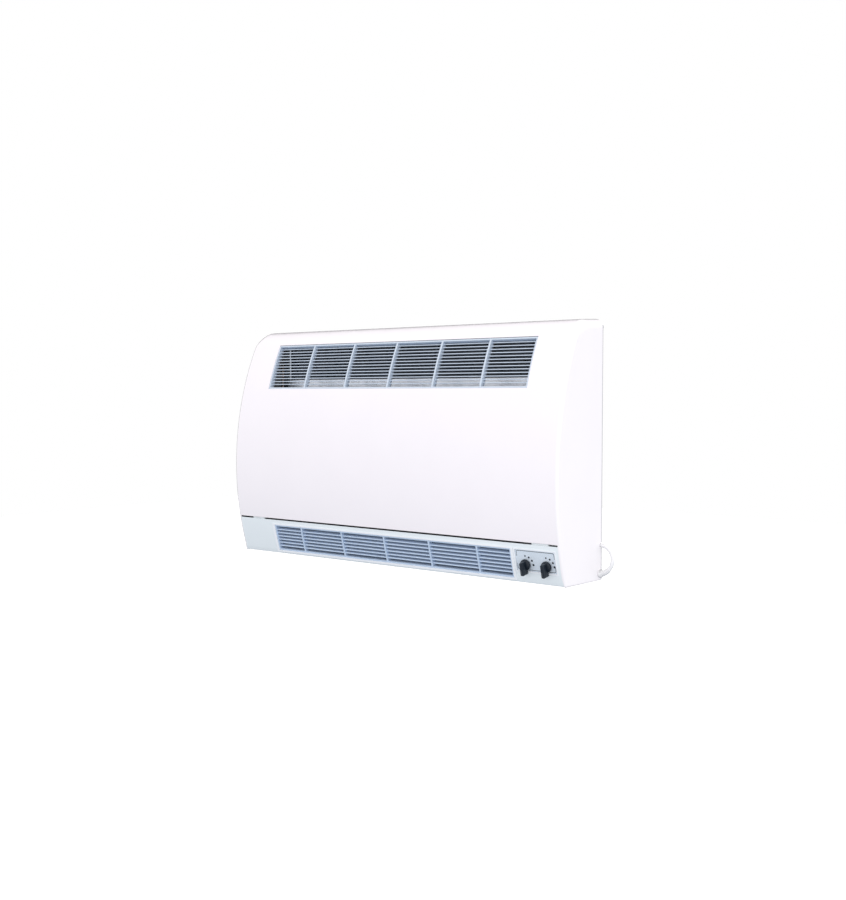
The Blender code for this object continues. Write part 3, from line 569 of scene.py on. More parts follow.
def make_flex():
    """The mains flex from its gland round to the notch, up inside the casing and into a coil."""
    points = flex_loop(SLEEVE_ANGLE - 1, 180, 22)
    middle = (STOW_X + FLEX_BEND, NOTCH_Y, GLAND_Z + 3 * FLEX_BEND)
    points += arc(middle, (0, 0, -1), (-1, 0, 0), FLEX_BEND, 0, 90, 12)[1:]
    for z in even(middle[2], COIL_Z, 8)[1:]:
        points.append(Vector((STOW_X, NOTCH_Y, z)))
    last_turn = 1205
    points += [coil_point(a) for a in range(6, last_turn, 6)]
    points = [MM * (point + Vector((0, 0, UNDERSIDE))) for point in points]
    curve = bpy.data.curves.new("mains_lead", "CURVE")
    curve.dimensions = "3D"
    curve.bevel_depth = FLEX_RADIUS * MM
    curve.bevel_resolution = 6
    curve.use_fill_caps = True
    spline = curve.splines.new("POLY")
    spline.points.add(len(points) - 1)
    for spline_point, point in zip(spline.points, points):
        spline_point.co = (*point, 1)
    spline.use_smooth = True
    lead = new_object("mains_lead", curve)
    settle(lead, "white_flex", "casing", ("mains_flex", "flex_coil"))

    pieces = [make_strain_relief(), make_coil_tie()]
    pieces += make_cores(last_turn - 5)


def make_strain_relief():
    """A flanged gland with a tapered, ribbed sleeve that follows the flex."""
    gland = ((-12, 4.4), (-0.2, 4.4), (0.3, 6.6), (0.5, 7), (2.2, 7), (2.6, 6.6))
    points = [Vector((WIDTH / 2 + x, GLAND_Y, GLAND_Z)) for x, radius in gland]
    radii = [radius for x, radius in gland]
    steps = 40
    for i in range(steps + 1):
        groove = 0.55 if i % 5 in (3, 4) and i < steps - 4 else 0
        radii.append(5.4 - 1.5 * i / steps - groove)
    bm = swept(points + flex_loop(6, SLEEVE_ANGLE, steps), radii, 32)
    return add_piece("strain_relief", bm, "white_rubber", "cable_gland", smooth=50)


def make_coil_tie():
    """A ribbed nylon tie with its locking head, round the front of the coil."""
    reach = 6.9
    corner = 2
    flat = reach - corner
    front = NOTCH_Y - 2 * COIL_MID - FLEX_RADIUS
    band = []
    for i, (across, along) in enumerate(((1, 1), (-1, 1), (-1, -1), (1, -1))):
        angles = even(90 * i, 90 * i + 90, 6)
        band += on_circle(COIL_X + flat * across, front + flat * along, corner, angles)
    bm = bmesh.new()
    rings = []
    for grow, z in ((0, -2.4), (1.1, -2.4), (1.3, -1.6), (1.3, 1.6), (1.1, 2.4), (0, 2.4)):
        ring = []
        for x, y in band:
            away = Vector((x - COIL_X, y - front)).normalized() * grow
            ring.append(bm.verts.new((x + away.x, y + away.y, COIL_Z + z)))
        rings.append(ring)
    skin(bm, rings + rings[:1])
    head = moved(block((-3, -4.5, -2.9), (2.4, -0.6, 2.9), 0.6), at(COIL_X, front - reach, COIL_Z))
    tail = moved(block((2, -3.2, -2.2), (7.5, -2, 2.2), 0.3), at(COIL_X, front - reach, COIL_Z))
    return add_piece("coil_tie", merged(bm, head, tail), "black_plastic", "flex_tie", smooth=40)


def make_cores(start):
    """The three insulated cores that come out of the sheath's free end."""
    pieces = []
    steps = 12
    hub = Vector((0, NOTCH_Y - COIL_MID - FLEX_RADIUS, COIL_Z))
    for i, colour in enumerate(("brown_core", "blue_core", "green_core")):
        points = []
        for t in even(0, 1, steps):
            centre = coil_point(start + 46 * t)
            inward = (hub - Vector((0, centre.y, centre.z))).normalized()
            swing = math.radians(120 * i + 80 * t)
            ring = inward * math.cos(swing) + Vector((1, 0, 0)) * math.sin(swing)
            points.append(centre + inward * 7 * t * t + ring * (1.55 + 1.2 * t))
        radii = [1.25] * (steps - 2) + [0.6] * 3
        pieces.append(add_piece(f"flex_{colour}", swept(points, radii, 14), colour, smooth=50))
    return pieces


# ------------------------ casing


def bow_tilt(z):
    return math.asin((z - BOW_HEIGHT) / BOW_RADIUS)


def bow_point(z, inset=0.0):
    """The (y, z) point of the bowed front at a height, moved inward by an inset."""
    tilt = bow_tilt(z)
    y = -DEPTH + BOW_RADIUS - (BOW_RADIUS - inset) * math.cos(tilt)
    return (y, BOW_HEIGHT + (BOW_RADIUS - inset) * math.sin(tilt))


def bow_place(x, z, inset):
    y, height = bow_point(z, inset)
    return (x, y, height)


def top_path():
    """The rounded shoulder and the nearly flat top, up to the wall."""
    start = bow_tilt(TOP_START)
    y, z = bow_point(TOP_START, TOP_FILLET)
    points = []
    for angle in even(start, TOP_TILT, 24)[1:]:
        points.append((y - TOP_FILLET * math.cos(angle), z + TOP_FILLET * math.sin(angle)))
    y, z = points[-1]
    for share in (0.33, 0.67, 1.0):
        points.append((y * (1 - share), z - y * share / math.tan(TOP_TILT)))
    return points


def end_outline():
    """The casing's side view from the rear bottom corner round to the rear top."""
    corner = 3.5
    middle = (bow_point(corner)[0] + corner, corner)
    points = [(0, 0), (middle[0] * 0.5, 0)]
    points += on_circle(*middle, corner, even(-90, -180 - math.degrees(bow_tilt(corner)), 8))
    return points + [bow_point(z) for z in even(6, TOP_START, 70)] + top_path()


def smoothstep(value, start, end):
    t = min(max((value - start) / (end - start), 0), 1)
    return t * t * (3 - 2 * t)


def end_rounding(y, z):
    """The radius that blends the front, top or bottom into the end of the casing."""
    foot = bow_point(0)[0]
    if y > foot + 3 and z < 3:
        return BOTTOM_ROUNDING + 0.9 * (1 - smoothstep(y, foot + 3, foot + 25))
    radius = 3.4 + (END_ROUNDING - 3.4) * smoothstep(z, 2, 16)
    return radius + (TOP_ROUNDING - END_ROUNDING) * smoothstep(z, 395, 425)


def at_depth(a, b, y):
    """The point of the line from a to b that lies at depth y."""
    share = (y - a[0]) / (b[0] - a[0])
    return (y, a[1] + share * (b[1] - a[1]))


def notch_outline(low, high):
    """The flex notch in the rear edge, from its upper lip round to its lower one."""
    depth = NOTCH_Y - FLEX_RADIUS - 1
    corner = 3.2
    upper = [(0, high + 0.8), (-0.8, high), (-REAR_TAPER, high)]
    upper += [(depth + corner, high), (depth + 1, high - 1), (depth, high - corner)]
    return upper + [(y, low + high - z) for y, z in reversed(upper)]


def end_cap(side, notch=None):
    """One rounded end of the casing, an open-backed shell with a plain side."""
    outline = end_outline()
    outline.insert(1, at_depth(outline[0], outline[1], -REAR_TAPER))
    outline.insert(-1, at_depth(outline[-2], outline[-1], -REAR_TAPER))
    inside = offset_path(outline, MOULDING)
    angles = [math.radians(a) for a in even(0, 90, 14)]
    bm = bmesh.new()

    def ring(points, wall, angle, back=0.0):
        verts = []
        for (y, z), (iy, iz), point in zip(outline, inside, points):
            radius = end_rounding(y, z)
            inward = Vector((iy - y, iz - z)) / MOULDING
            reach = (radius - wall) * (1 - math.cos(angle))
            x = WIDTH / 2 - radius + (radius - wall) * math.sin(angle) - back
            spot = Vector(point) + inward * reach
            verts.append(bm.verts.new((side * x, min(spot.x, 0), max(spot.y, 0))))
        return verts

    shells = []
    for points, wall in ((outline, 0.0), (inside, MOULDING)):
        shells.append([ring(points, wall, 0, 0.4)] + [ring(points, wall, a) for a in angles])
    for rings in shells:
        for a, b in zip(rings, rings[1:]):
            for i in range(len(outline) - 1):
                bm.faces.new([a[i], a[i + 1], b[i + 1], b[i]])
    outer, inner = shells
    walls = []
    for rings, wall in zip(shells, (0.0, MOULDING)):
        edge = rings[-1]
        rear = []
        if notch:
            rear = [bm.verts.new((side * (WIDTH / 2 - wall), y, z)) for y, z in notch_outline(*notch)]
            bm.faces.new(edge[1:-1] + rear[2:-2])
            bm.faces.new(edge[-2:] + rear[:3])
            bm.faces.new(rear[-3:] + edge[:2])
        else:
            bm.faces.new(edge[1:-1])
            bm.faces.new(edge[-2:] + edge[:2])
        walls.append(edge + rear)
    for i in range(len(outline) - 1):
        bm.faces.new([outer[0][i], inner[0][i], inner[0][i + 1], outer[0][i + 1]])
    for i in range(len(outer) - 1):
        for end in (0, -1):
            bm.faces.new([outer[i][end], outer[i + 1][end], inner[i + 1][end], inner[i][end]])
    start = len(outline) - 1
    rim = list(range(start, len(walls[0]))) + [0]
    for i, j in zip(rim, rim[1:]):
        bm.faces.new([walls[0][i], walls[1][i], walls[1][j], walls[0][j]])
    return bm


def make_casing():
    """The folded front sheet with the inlet's opening, and the two moulded ends."""
    heights = even(SEAM_HIGH, INLET[1], 44) + even(INLET[1], INLET[2], 14)[1:] + [TOP_START]
    path = [(bow_point(SEAM_HIGH)[0] + LIP, SEAM_HIGH)]
    path += [bow_point(z) for z in heights] + top_path()
    stations = (-WIDTH, -INLET[0], INLET[0], WIDTH)

    def edge(i):
        return WIDTH / 2 - end_rounding(*path[max(i, 1)]) - 0.4

    def in_inlet(x, z):
        return abs(x) < INLET[0] and INLET[1] < z < INLET[2]

    def at_opening(point):
        inside = abs(point.x) < INLET[0] + 0.1 and INLET[1] - 2 < point.z < INLET[2] + 2
        return inside or point.z < SEAM_HIGH + 0.1 and point.y < bow_point(SEAM_HIGH)[0] + 1

    bm = soften(folded_sheet(path, SHEET, stations, in_inlet, edge), 0.5, chosen=at_opening)
    front = add_piece("front_casing", bm, "white_enamel", "front_panel", smooth=28)
    bm = ease_rear(end_cap(-1))
    left = add_piece("left_casing_end", bm, "end_enamel", "left_end_cap", smooth=16)
    level = GLAND_Z + 2 * FLEX_BEND
    notch = (level - FLEX_RADIUS - 1, level + FLEX_RADIUS + 1)
    bm = ease_rear(end_cap(1, notch))
    right = add_piece("right_casing_end", bm, "side_enamel", "right_end_cap", smooth=16)
    # Painted shade: dark primer on the faces that look into the casing
    for piece in (front, left, right):
        shade_inside(piece)
    # Painted shade: grey along the end caps' rear edges
    shade_rear_edge(left)
    shade_rear_edge(right)


def shade_rear_edge(cap):
    """Paint the tapered rear edge of an end cap grey, as painted shade for the dark line along the
    casing's outline.
    """
    cap.data.materials.append(MATERIALS["edge_grey"])
    for face in cap.data.polygons:
        middle = face.center / MM
        if middle.y > -REAR_TAPER and abs(middle.x) > WIDTH / 2 - 1.4 and abs(face.normal.x) > 0.6:
            face.material_index = 2


def ease_rear(cap):
    """Taper the rear edge of an end cap's plain side in towards the wall."""
    for vert in cap.verts:
        depth = WIDTH / 2 - abs(vert.co.x)
        if vert.co.y > 0.6 - REAR_TAPER and depth < MOULDING + 0.1:
            shift = 1.3 if depth < 0.1 else 0.4
            vert.co.x -= math.copysign(shift * (vert.co.y / REAR_TAPER + 1), vert.co.x)
    return cap


def make_fascia():
    """The moulding under the front casing, with the outlet and the control plate's opening."""
    heights = even(OUTLET[1], CONTROL[2], 6) + even(CONTROL[2], OUTLET[2], 14)[1:]
    foot_y = bow_point(FASCIA_FOOT)[0]
    half = WIDTH / 2 - END_ROUNDING - 0.3
    stations = (-half, -OUTLET[0], OUTLET[0], CONTROL[0], CONTROL[1], half)
    fold = 2.4
    path = [(foot_y + 30, FASCIA_FOOT)]
    path += on_circle(foot_y + fold, FASCIA_FOOT + fold, fold, even(270, 195, 5))
    path += [bow_point(z) for z in heights] + [bow_point(z) for z in even(OUTLET[2], SEAM_LOW, 4)[1:]]
    path.append((bow_point(SEAM_LOW)[0] + LIP, SEAM_LOW))

    def is_open(x, z):
        if abs(x) < OUTLET[0]:
            return OUTLET[1] < z < OUTLET[2]
        return CONTROL[0] < x < CONTROL[1] and CONTROL[2] < z < OUTLET[2]

    def edge(i):
        y, z = path[i]
        if i in (0, len(path) - 1):
            return half
        return WIDTH / 2 - end_rounding(bow_point(z)[0], z) - 0.35

    def at_edge(point):
        return abs(point.x) < half - 1

    parts = [soften(folded_sheet(path, MOULDING, stations, is_open, edge), 0.5, chosen=at_edge)]
    front = bow_point(SEAM_LOW)[0]
    for left, right in SEAM_TABS:
        low = (left, front + 0.7, SEAM_LOW - 0.5)
        parts.append(block(low, (right, front + 6, SEAM_HIGH - 0.25), 0.3))
    # The fascia's inner faces get dark primer as painted shade
    shade_inside(add_piece("outlet_fascia", merged(*parts), "white_moulding", "lower_fascia", smooth=28))

    half, low, high = OUTLET
    surround("outlet_surround", (-half, half, low, high), (5.5, 4.5, 3, 2.6))
    surround("control_surround", CONTROL, (2.2, 2, 2, 1.8))


def surround(name, opening, margins):
    """A low bead round an opening in the fascia, with rounded edges, paler than the fascia as a painted
    highlight along the opening.
    """
    left, right, low, high = opening
    inner = 0.2
    xs = [left - margins[0], left + inner, right - inner, right + margins[1]]
    zs = [low - margins[2], low + inner] + even(low + inner, high - inner, 10)[1:] + [high + margins[3]]

    def in_bead(i, j, k):
        return i != 1 or j in (0, len(zs) - 2)

    bead = cell_solid(xs, zs, (-0.7, 1.6), bow_place, in_bead)
    add_piece(name, soften(bead, 0.65, 3), "white_bead", smooth=40)


# ------------------------ grilles


def grille(opening, slots, share, blade_depth, tilt, recess):
    """A recessed frame, five mullions and thin level blades with rounded noses."""
    half, low, high = opening
    clear = 0.4
    rim = 2.6
    zs = [low + clear] + even(low + clear + rim, high - clear - rim, 16) + [high - clear]
    xs = (-half + clear, -half + clear + rim, half - clear - rim, half - clear)

    def in_rim(i, j, k):
        return i != 1 or j in (0, len(zs) - 2)

    frame_bars = cell_solid(xs, zs, (0.8, 10), bow_place, in_rim)
    parts = [soften(frame_bars, 0.45)]
    for i in range(-2, 3):
        mullion = cell_solid((i * BAY - 1.7, i * BAY + 1.7), zs[1:-1], (0.9, 9.8), bow_place)
        parts.append(soften(mullion, 0.5))
    first = low + clear + rim
    pitch = (high - clear - rim - first) / slots
    thick = pitch * (1 - share)
    lean = Matrix.Rotation(tilt, 2)
    blade = on_circle(0, 0, thick / 2, even(90, 270, 8))
    blade += [(blade_depth, -thick * 0.32), (blade_depth, thick * 0.32)]
    blade = [lean @ Vector(point) for point in blade]
    for i in range(1, slots):
        z = first + i * pitch
        y = bow_point(z)[0] + recess + thick / 2
        outline = [(y + point.x, z + point.y) for point in blade]
        parts.append(prism(outline, -half + clear + 1, half - clear - 1))
    return merged(*parts)


def make_grilles():
    inlet = grille(INLET, 14, 0.7, 5.5, 0.0, 4.4)
    add_piece("inlet_louvre", inlet, "silver_moulding", "inlet_grille", smooth=35)
    outlet = grille(OUTLET, 7, 0.6, 8.5, math.radians(26), 1.8)
    add_piece("outlet_louvre", outlet, "silver_blue", "outlet_grille", smooth=35)


# ------------------------ controls


def dial_frame(x, depth=0.0):
    """A matrix that stands a piece on the bowed front over a dial."""
    y, z = bow_point(DIAL_Z, depth)
    return at(x, y, z) @ FACING_FRONT @ Matrix.Rotation(-bow_tilt(DIAL_Z), 4, "X")


def plate_line(outline, width, height):
    """A thin raised line along a closed loop of (x, z) points on the control plate."""
    bm = bmesh.new()
    rings = []
    for i, (x, z) in enumerate(outline):
        along = Vector(outline[(i + 1) % len(outline)]) - Vector(outline[i - 1])
        side = Vector((-along.y, along.x)).normalized() * width / 2
        ring = []
        for k, rise in ((1, -0.3), (1, height), (-1, height), (-1, -0.3)):
            ring.append(bm.verts.new(bow_place(x + side.x * k, z + side.y * k, 1 - rise)))
        rings.append(ring)
    skin(bm, rings + rings[:1])
    return bm


def rounded_rectangle(low, high, radius, steps):
    points = []
    left, right = low[0] + radius, high[0] - radius
    bottom, top = low[1] + radius, high[1] - radius
    for i, (x, z) in enumerate(((right, top), (left, top), (left, bottom), (right, bottom))):
        points += on_circle(x, z, radius, even(90 * i, 90 * i + 90, steps))
    return points


def make_control_plate():
    clear = 0.4
    xs = [CONTROL[0] + clear] + even(CONTROL[0] + 2, CONTROL[1] - 2, 8) + [CONTROL[1] - clear]
    zs = even(CONTROL[2] + clear, CONTROL[3] - clear, 12)
    plate = soften(cell_solid(xs, zs, (1, 3), bow_place), 0.5)
    add_piece("control_face", plate, "silver_plate", "control_plate", smooth=30)
    low = (CONTROL[0] + 2.4, CONTROL[2] + 2.2)
    high = (CONTROL[1] - 2.6, CONTROL[3] - 2.4)
    border = plate_line(rounded_rectangle(low, high, 3.2, 6), 0.75, 0.12)
    add_piece("control_border", border, "dot_ink", smooth=40)
    dots = []
    for x in DIALS.values():
        for i, (across, up) in enumerate(on_circle(0, 0, 14.2, (90, 60, 30, 0))):
            size = 1.35 + 0.2 * i
            profile = ((0, -0.2), (size, -0.2), (size, 0.14), (0.8 * size, 0.26), (0, 0.3))
            dots.append(moved(turned(profile, 20), dial_frame(x, 1) @ at(across, up, 0)))
    add_piece("dial_marks", merged(*dots), "dot_ink", smooth=40)


def make_knobs():
    """A stepped skirt with a tapered grip bar and a fine pointer line."""
    profile = [(0, -0.5), (8.3, -0.5), (9.0, 0.1), (9.1, 0.7), (9.1, 2.9), (8.7, 3.8), (7.9, 4.5)]
    profile += [(7.3, 4.6), (7.1, 4.35), (6.8, 4.35), (6.6, 4.6), (5.9, 4.9), (0, 5.0)]
    for name, x in DIALS.items():
        bar = block((-3.4, -15.4, 1.2), (3.4, 7.7, 14.8))
        for vert in bar.verts:
            if vert.co.z > 10:
                vert.co.x *= 0.8
                vert.co.y += 0.7 if vert.co.y < 0 else -0.9
        round_edges(bar, bar.edges[:], 1.1, 4, 0.6)
        knob = moved(merged(turned(profile, 72), bar), dial_frame(x))
        body = f"{name}_dial"
        add_piece(f"{body}_knob", knob, "charcoal_knob", f"{name}_knob", body, smooth=32)
        pointer = moved(block((-0.5, -13.9, 14.6), (0.5, -5.6, 14.86), 0.08), dial_frame(x))
        add_piece(f"{body}_line", pointer, "grey_primer", body=body)


# ------------------------ heat exchanger


def make_fins():
    """Thin plates with rippled leading edges, a few millimetres apart."""
    front, back, low, high = -68, -14, 250, 392
    reach = 287.5
    half_thick = 0.13
    outline = [(back, high), (back, low)]
    for i, z in enumerate(even(low, high, 20)):
        outline.append((front + (0.9 if i % 2 else 0), z))
    fins = bmesh.new()
    for x in even(-reach, reach, 195):
        extrude(fins, outline, x - half_thick, x + half_thick)
    for side in (-1, 1):
        inner, outer = sorted((side * (reach + 0.1), side * (reach + 1.2)))
        fins = merged(fins, block((inner, front - 0.8, low), (outer, back, high), 0.3))
    add_piece("fin_stack", fins, "fin_aluminium", "fin_pack", smooth=20)


def upright(outline, side, low, high):
    """A prism standing on an (x, y) outline, for the left end if side is -1."""
    stand = Matrix(((0, 1, 0, 0), (0, 0, 1, 0), (1, 0, 0, 0), (0, 0, 0, 1)))
    return moved(prism([(side * x, y) for x, y in outline], low, high), stand)


def make_coil_ends():
    """The coil's end plates: a sheet folded outwards at the front, with a collar round each tube."""
    folded = [(304, -70), (304, -68.5), (291.7, -68.5), (290.9, -68.2), (290.5, -67.5), (290.5, -2)]
    folded += [(289, -2), (289, -67.8), (289.3, -69), (290.2, -69.8), (291.5, -70)]
    plain = ((290.5, -70), (290.5, -2), (289, -2), (289, -70))
    lip = ((284.6, -69.9), (284.6, -69.2), (291, -69.2), (291, -69.9))
    edge = ((284.4, -70.1), (284.4, -69), (287.6, -69), (287.6, -70.1))
    rim = ((5.2, 0), (7.4, 0), (7.4, 0.5), (6.2, 0.9), (6.0, 2.2), (5.2, 2.2))
    low, fold_low, high = 244.6, 257, 400
    for name, side in (("left", -1), ("right", 1)):
        parts = [upright(folded, side, fold_low, high), upright(plain, side, low, fold_low)]
        facing_out = Matrix.Rotation(side * math.pi / 2, 4, "Y")
        for i in range(1, 4) if name == "left" else range(5):
            for y in (ROW_FRONT, ROW_BACK):
                place = at(side * 290.4, y, LEVEL_LOW + i * LEVEL_STEP) @ facing_out
                parts.append(moved(turned(rim, 32), place))
        parts.append(upright(lip, side, fold_low + 2, high))
        plate = merged(*parts)
        add_piece(f"coil_end_{name}", plate, "dark_steel", f"coil_end_plate_{name}", smooth=35)
        # Painted highlight: a pale strip on each plate's folded front edge stands for the bright line of
        # light along it
        bead = upright(edge, side, fold_low + 1.6, high)
        add_piece(f"coil_end_highlight_{name}", bead, "white_bead", smooth=35)


def belled(points):
    """Radii for a copper tube whose ends swell into brazed sockets."""
    runs = [0]
    for a, b in zip(points, points[1:]):
        runs.append(runs[-1] + (b - a).length)
    radii = []
    for run in runs:
        reach = min(run, runs[-1] - run)
        swell = 0.75 if reach < 6.5 else (0.35 if reach < 7.5 else 0)
        radii.append(PIPE_RADIUS + swell)
    return radii


def make_tubes():
    """Hairpins through the coil from its left end, and the brazed bends that join them there."""
    bend_x = 296
    row_middle = (ROW_FRONT + ROW_BACK) / 2
    ends = [TUBE_END + run for run in (0, 3, 6.4, 7, 7.6, 9)]
    bend_radius = row_middle - ROW_FRONT
    for i in range(5):
        z = LEVEL_LOW + i * LEVEL_STEP
        points = [Vector((x, ROW_FRONT, z)) for x in ends]
        points += arc((bend_x, row_middle, z), (0, -1, 0), (1, 0, 0), bend_radius, 0, 180, 28)
        points += [Vector((x, ROW_BACK, z)) for x in reversed(ends)]
        tube = swept(points, belled(points))
        add_piece(f"coil_hairpin_{i + 1}", tube, "tinned_copper", f"hairpin_tube_{i + 1}", smooth=50)
    collar = ((4.9, -1.6), (5.5, -1.5), (6.1, -0.6), (5.9, 0.3), (4.9, 0.4))
    for i in range(4):
        y = ROW_BACK if i % 2 == 0 else ROW_FRONT
        levels = (LEVEL_LOW + i * LEVEL_STEP, LEVEL_LOW + (i + 1) * LEVEL_STEP)
        middle = (TUBE_END - 3, y, sum(levels) / 2)
        points = [Vector((TUBE_END - run, y, levels[0])) for run in (0.3, 2)]
        points += arc(middle, (0, 0, -1), (-1, 0, 0), LEVEL_STEP / 2, 0, 180, 28)
        points += [Vector((TUBE_END - run, y, levels[1])) for run in (2, 0.3)]
        bend = swept(points, [PIPE_RADIUS] * len(points))
        add_piece(f"coil_bend_{i + 1}", bend, "tinned_copper", f"return_bend_{i + 1}", smooth=50)
        collars = [moved(turned(collar, 32), at(TUBE_END - 1.2, y, z) @ RESTING_ON_X) for z in levels]
        add_piece(f"braze_rings_{i + 1}", merged(*collars), "bronze", smooth=50)


def make_union(name, x, y, level):
    """A compression fitting on the lower end of a tail: nut, body and screw thread."""
    nut = ((5.2, -13), (10.2, -13), (12, -11.6), (12, -1.6), (10.2, -0.2), (5.2, -0.2))
    body = ((5.0, -21.5), (9.2, -21.5), (10.6, -20.6), (10.6, -16.4), (9.2, -15.4), (5.0, -15.4))
    thread = [(5.0, -24), (6.6, -24)]
    for turn in range(5):
        rise = turn * 1.9
        thread += [(7.2, rise - 23.6), (7.2, rise - 23.1), (6.5, rise - 22.4)]
    thread += [(6.6, -13.2), (5.0, -13.2)]
    whole = moved(merged(turned(nut, 6), turned(body, 6), turned(thread, 40)), at(x, y, level))
    add_piece(f"{name}_union", whole, "brass", f"{name}_fitting", smooth=25)


def make_tails():
    """The flow and return pipes down the left end, with their fittings, air vent and pipe stat."""
    highest = LEVEL_LOW + 4 * LEVEL_STEP
    bend = 16
    foot = 150
    for name, x, y, z in (("flow", -328, ROW_FRONT, LEVEL_LOW), ("return", -350, ROW_BACK, highest)):
        points = [Vector((TUBE_END - run, y, z)) for run in (0.3, 5)]
        points += arc((x + bend, y, z - bend), (0, 0, 1), (-1, 0, 0), bend, 0, 90, 20)
        points += [Vector((x, y, level)) for level in even(z - bend - 4, foot + 0.3, 12)]
        tube = swept(points, [PIPE_RADIUS] * len(points))
        add_piece(f"{name}_tail", tube, "copper", f"{name}_pipe", smooth=50)
        make_union(name, x, y, foot)

    profile = [(0, 0), (4.6, 0), (4.6, 1), (3.9, 1.4), (3.9, 4.6), (4.6, 5), (4.6, 6.2), (5.9, 6.8)]
    profile += [(5.9, 11.4), (5.2, 12), (2.6, 12.1), (2.6, 14.8), (1.9, 15.6), (0, 15.6)]
    vent = [turned(profile, 40), block((-0.5, -2.2, 15.3), (0.5, 2.2, 15.9))]
    for i in range(20):
        rib = block((5.5, -0.35, 7.2), (6.0, 0.35, 11.2))
        vent.append(moved(rib, Matrix.Rotation(math.tau * i / 20, 4, "Z")))
    where = at(-316, ROW_BACK, highest + PIPE_RADIUS + 0.3)
    add_piece("bleed_valve", moved(merged(*vent), where), "brass", "air_vent", smooth=35)

    stat_x, stat_z = -328, 210
    cup = turned(((0, 0), (7.6, 0), (8, 0.5), (8, 4), (7, 4.6), (6.4, 8), (5.8, 8.8), (0, 9)), 40)
    stat_at = at(stat_x, ROW_FRONT - PIPE_RADIUS - 0.3, stat_z) @ FACING_FRONT
    add_piece("pipe_stat", moved(cup, stat_at), "black_plastic", "low_limit_thermostat", smooth=35)
    tags = [block((x - 1.6, -0.4, 8), (x + 1.6, 0.4, 13), 0.15) for x in (-3.2, 3.2)]
    add_piece("pipe_stat_tags", moved(merged(*tags), stat_at), "zinc_screw")
    clip = bmesh.new()
    rings = []
    for c, w in on_circle(0, 0, 1, even(-200, 20, 26)):
        ring = []
        for r, z in ((5.2, -3), (5.9, -3), (5.9, 3), (5.2, 3)):
            ring.append(clip.verts.new((stat_x + r * c, ROW_FRONT - r * w, stat_z + z)))
        rings.append(ring)
    skin(clip, rings)
    clip.faces.new(rings[0])
    clip.faces.new(rings[-1])
    add_piece("pipe_stat_clip", clip, "bright_steel", smooth=40)


# ------------------------ fan


def make_duct():
    """The plate that guides air from the inlet past the coil, with a hemmed upper edge."""
    path = [(-111, 60.5), (-98, 67), (-92.5, 75), (-94, 90), (-103, 130), (-106, 180), (-105.2, 192)]
    path += [(-102, 208), (-96, 222), (-86, 235), (-78, 242), (-73.6, 248), (-72, 256), (-72, 334)]
    half = 288.5
    sheet = folded_sheet(path, -1.2, (-half, -95, 95, half))
    hem = swept([Vector((x, -71.6, 333.2)) for x in even(-half, half, 6)], [1.1] * 7)
    # The sheet's finish is the galvanised steel made lighter, as painted light
    add_piece("duct_sheet", merged(sheet, hem), "bright_zinc", "front_duct", smooth=30)


def make_impeller():
    """A cross-flow impeller: forward-curved blades between ringed discs on a hub."""
    blades = 34
    half = 279.5
    spine = [(24 + 5.7 * t, 3.1 * math.sin(1.25 * t) - 1.1 * t, 0.42 - 0.2 * t) for t in even(0, 1, 6)]
    bm = bmesh.new()
    for n in range(blades):
        turn = Matrix.Rotation(math.tau * n / blades, 2)
        upper = [turn @ Vector((r, c + w)) for r, c, w in spine]
        lower = [turn @ Vector((r, c - w)) for r, c, w in spine]
        extrude(bm, upper + list(reversed(lower)), -half, half)
    parts = [bm]
    rear = [(4.4, -4), (8, -4), (8.6, -3.4), (8.6, -1.2)]
    rear += [(23, -0.9), (23.4, -1), (29.6, -1), (29.9, -0.7)]
    disc = rear + [(r, -h) for r, h in reversed(rear)]
    for x in (-275.8, -93.3, 93.3, 275.8):
        parts.append(moved(turned(disc, 56), at(x, 0, 0) @ RESTING_ON_X))
    whole = moved(merged(*parts), at(0, FAN_Y, FAN_Z))
    add_piece("fan_runner", whole, "black_plastic", "fan_impeller", "fan_rotor", smooth=35)


def make_motor():
    """An induction motor: two pressed end bells round a laminated stack, with bolts."""
    profile = [(0, -50), (13, -50), (14, -49), (24, -48), (28, -46), (30.5, -42)]
    profile += [(31, -36), (31, -33), (32, -32.4)]
    for i in range(11):
        z = -32 + i * 1.9
        profile += [(32, z), (32, z + 1.3), (31.4, z + 1.5), (31.4, z + 1.8)]
    profile += [(32, -10.6), (31, -10), (31, -8), (29.5, -4), (24, -1.4), (14, -0.6), (12, 0), (0, 0)]
    bolt = ((0, -49.4), (2.4, -49.2), (2.9, -48.4), (2.9, -46), (0, -46))
    bolts = [moved(turned(bolt, 6), at(x, y, 0)) for x, y in on_circle(0, 0, 24.5, (45, 135, 225, 315))]
    vents = []
    for i in range(10):
        vent = block((16.5, -1.5, -49.6), (22, 1.5, -47.6), 0.5)
        vents.append(moved(vent, Matrix.Rotation(math.tau * (i + 0.5) / 10, 4, "Z")))
    where = at(-302, FAN_Y, FAN_Z) @ RESTING_ON_X
    add_piece("motor_shell", moved(turned(profile, 64), where), "dark_steel", "fan_motor", smooth=35)
    add_piece("motor_bolts", moved(merged(*bolts), where), "zinc_screw", smooth=30)
    add_piece("motor_vents", moved(merged(*vents), where), "black_plastic", smooth=40)


# ------------------------ chassis and electrics


BEAD_LEVELS = (150, 215, 280)


def pressed(x, z):
    """How deep the back plate's stiffening beads are at a spot."""
    depth = 0
    for level in BEAD_LEVELS:
        along = smoothstep(262 - abs(x), 0, 5)
        depth = max(depth, along * (1 - smoothstep(abs(z - level), 3, 7)))
    return 2.2 * depth


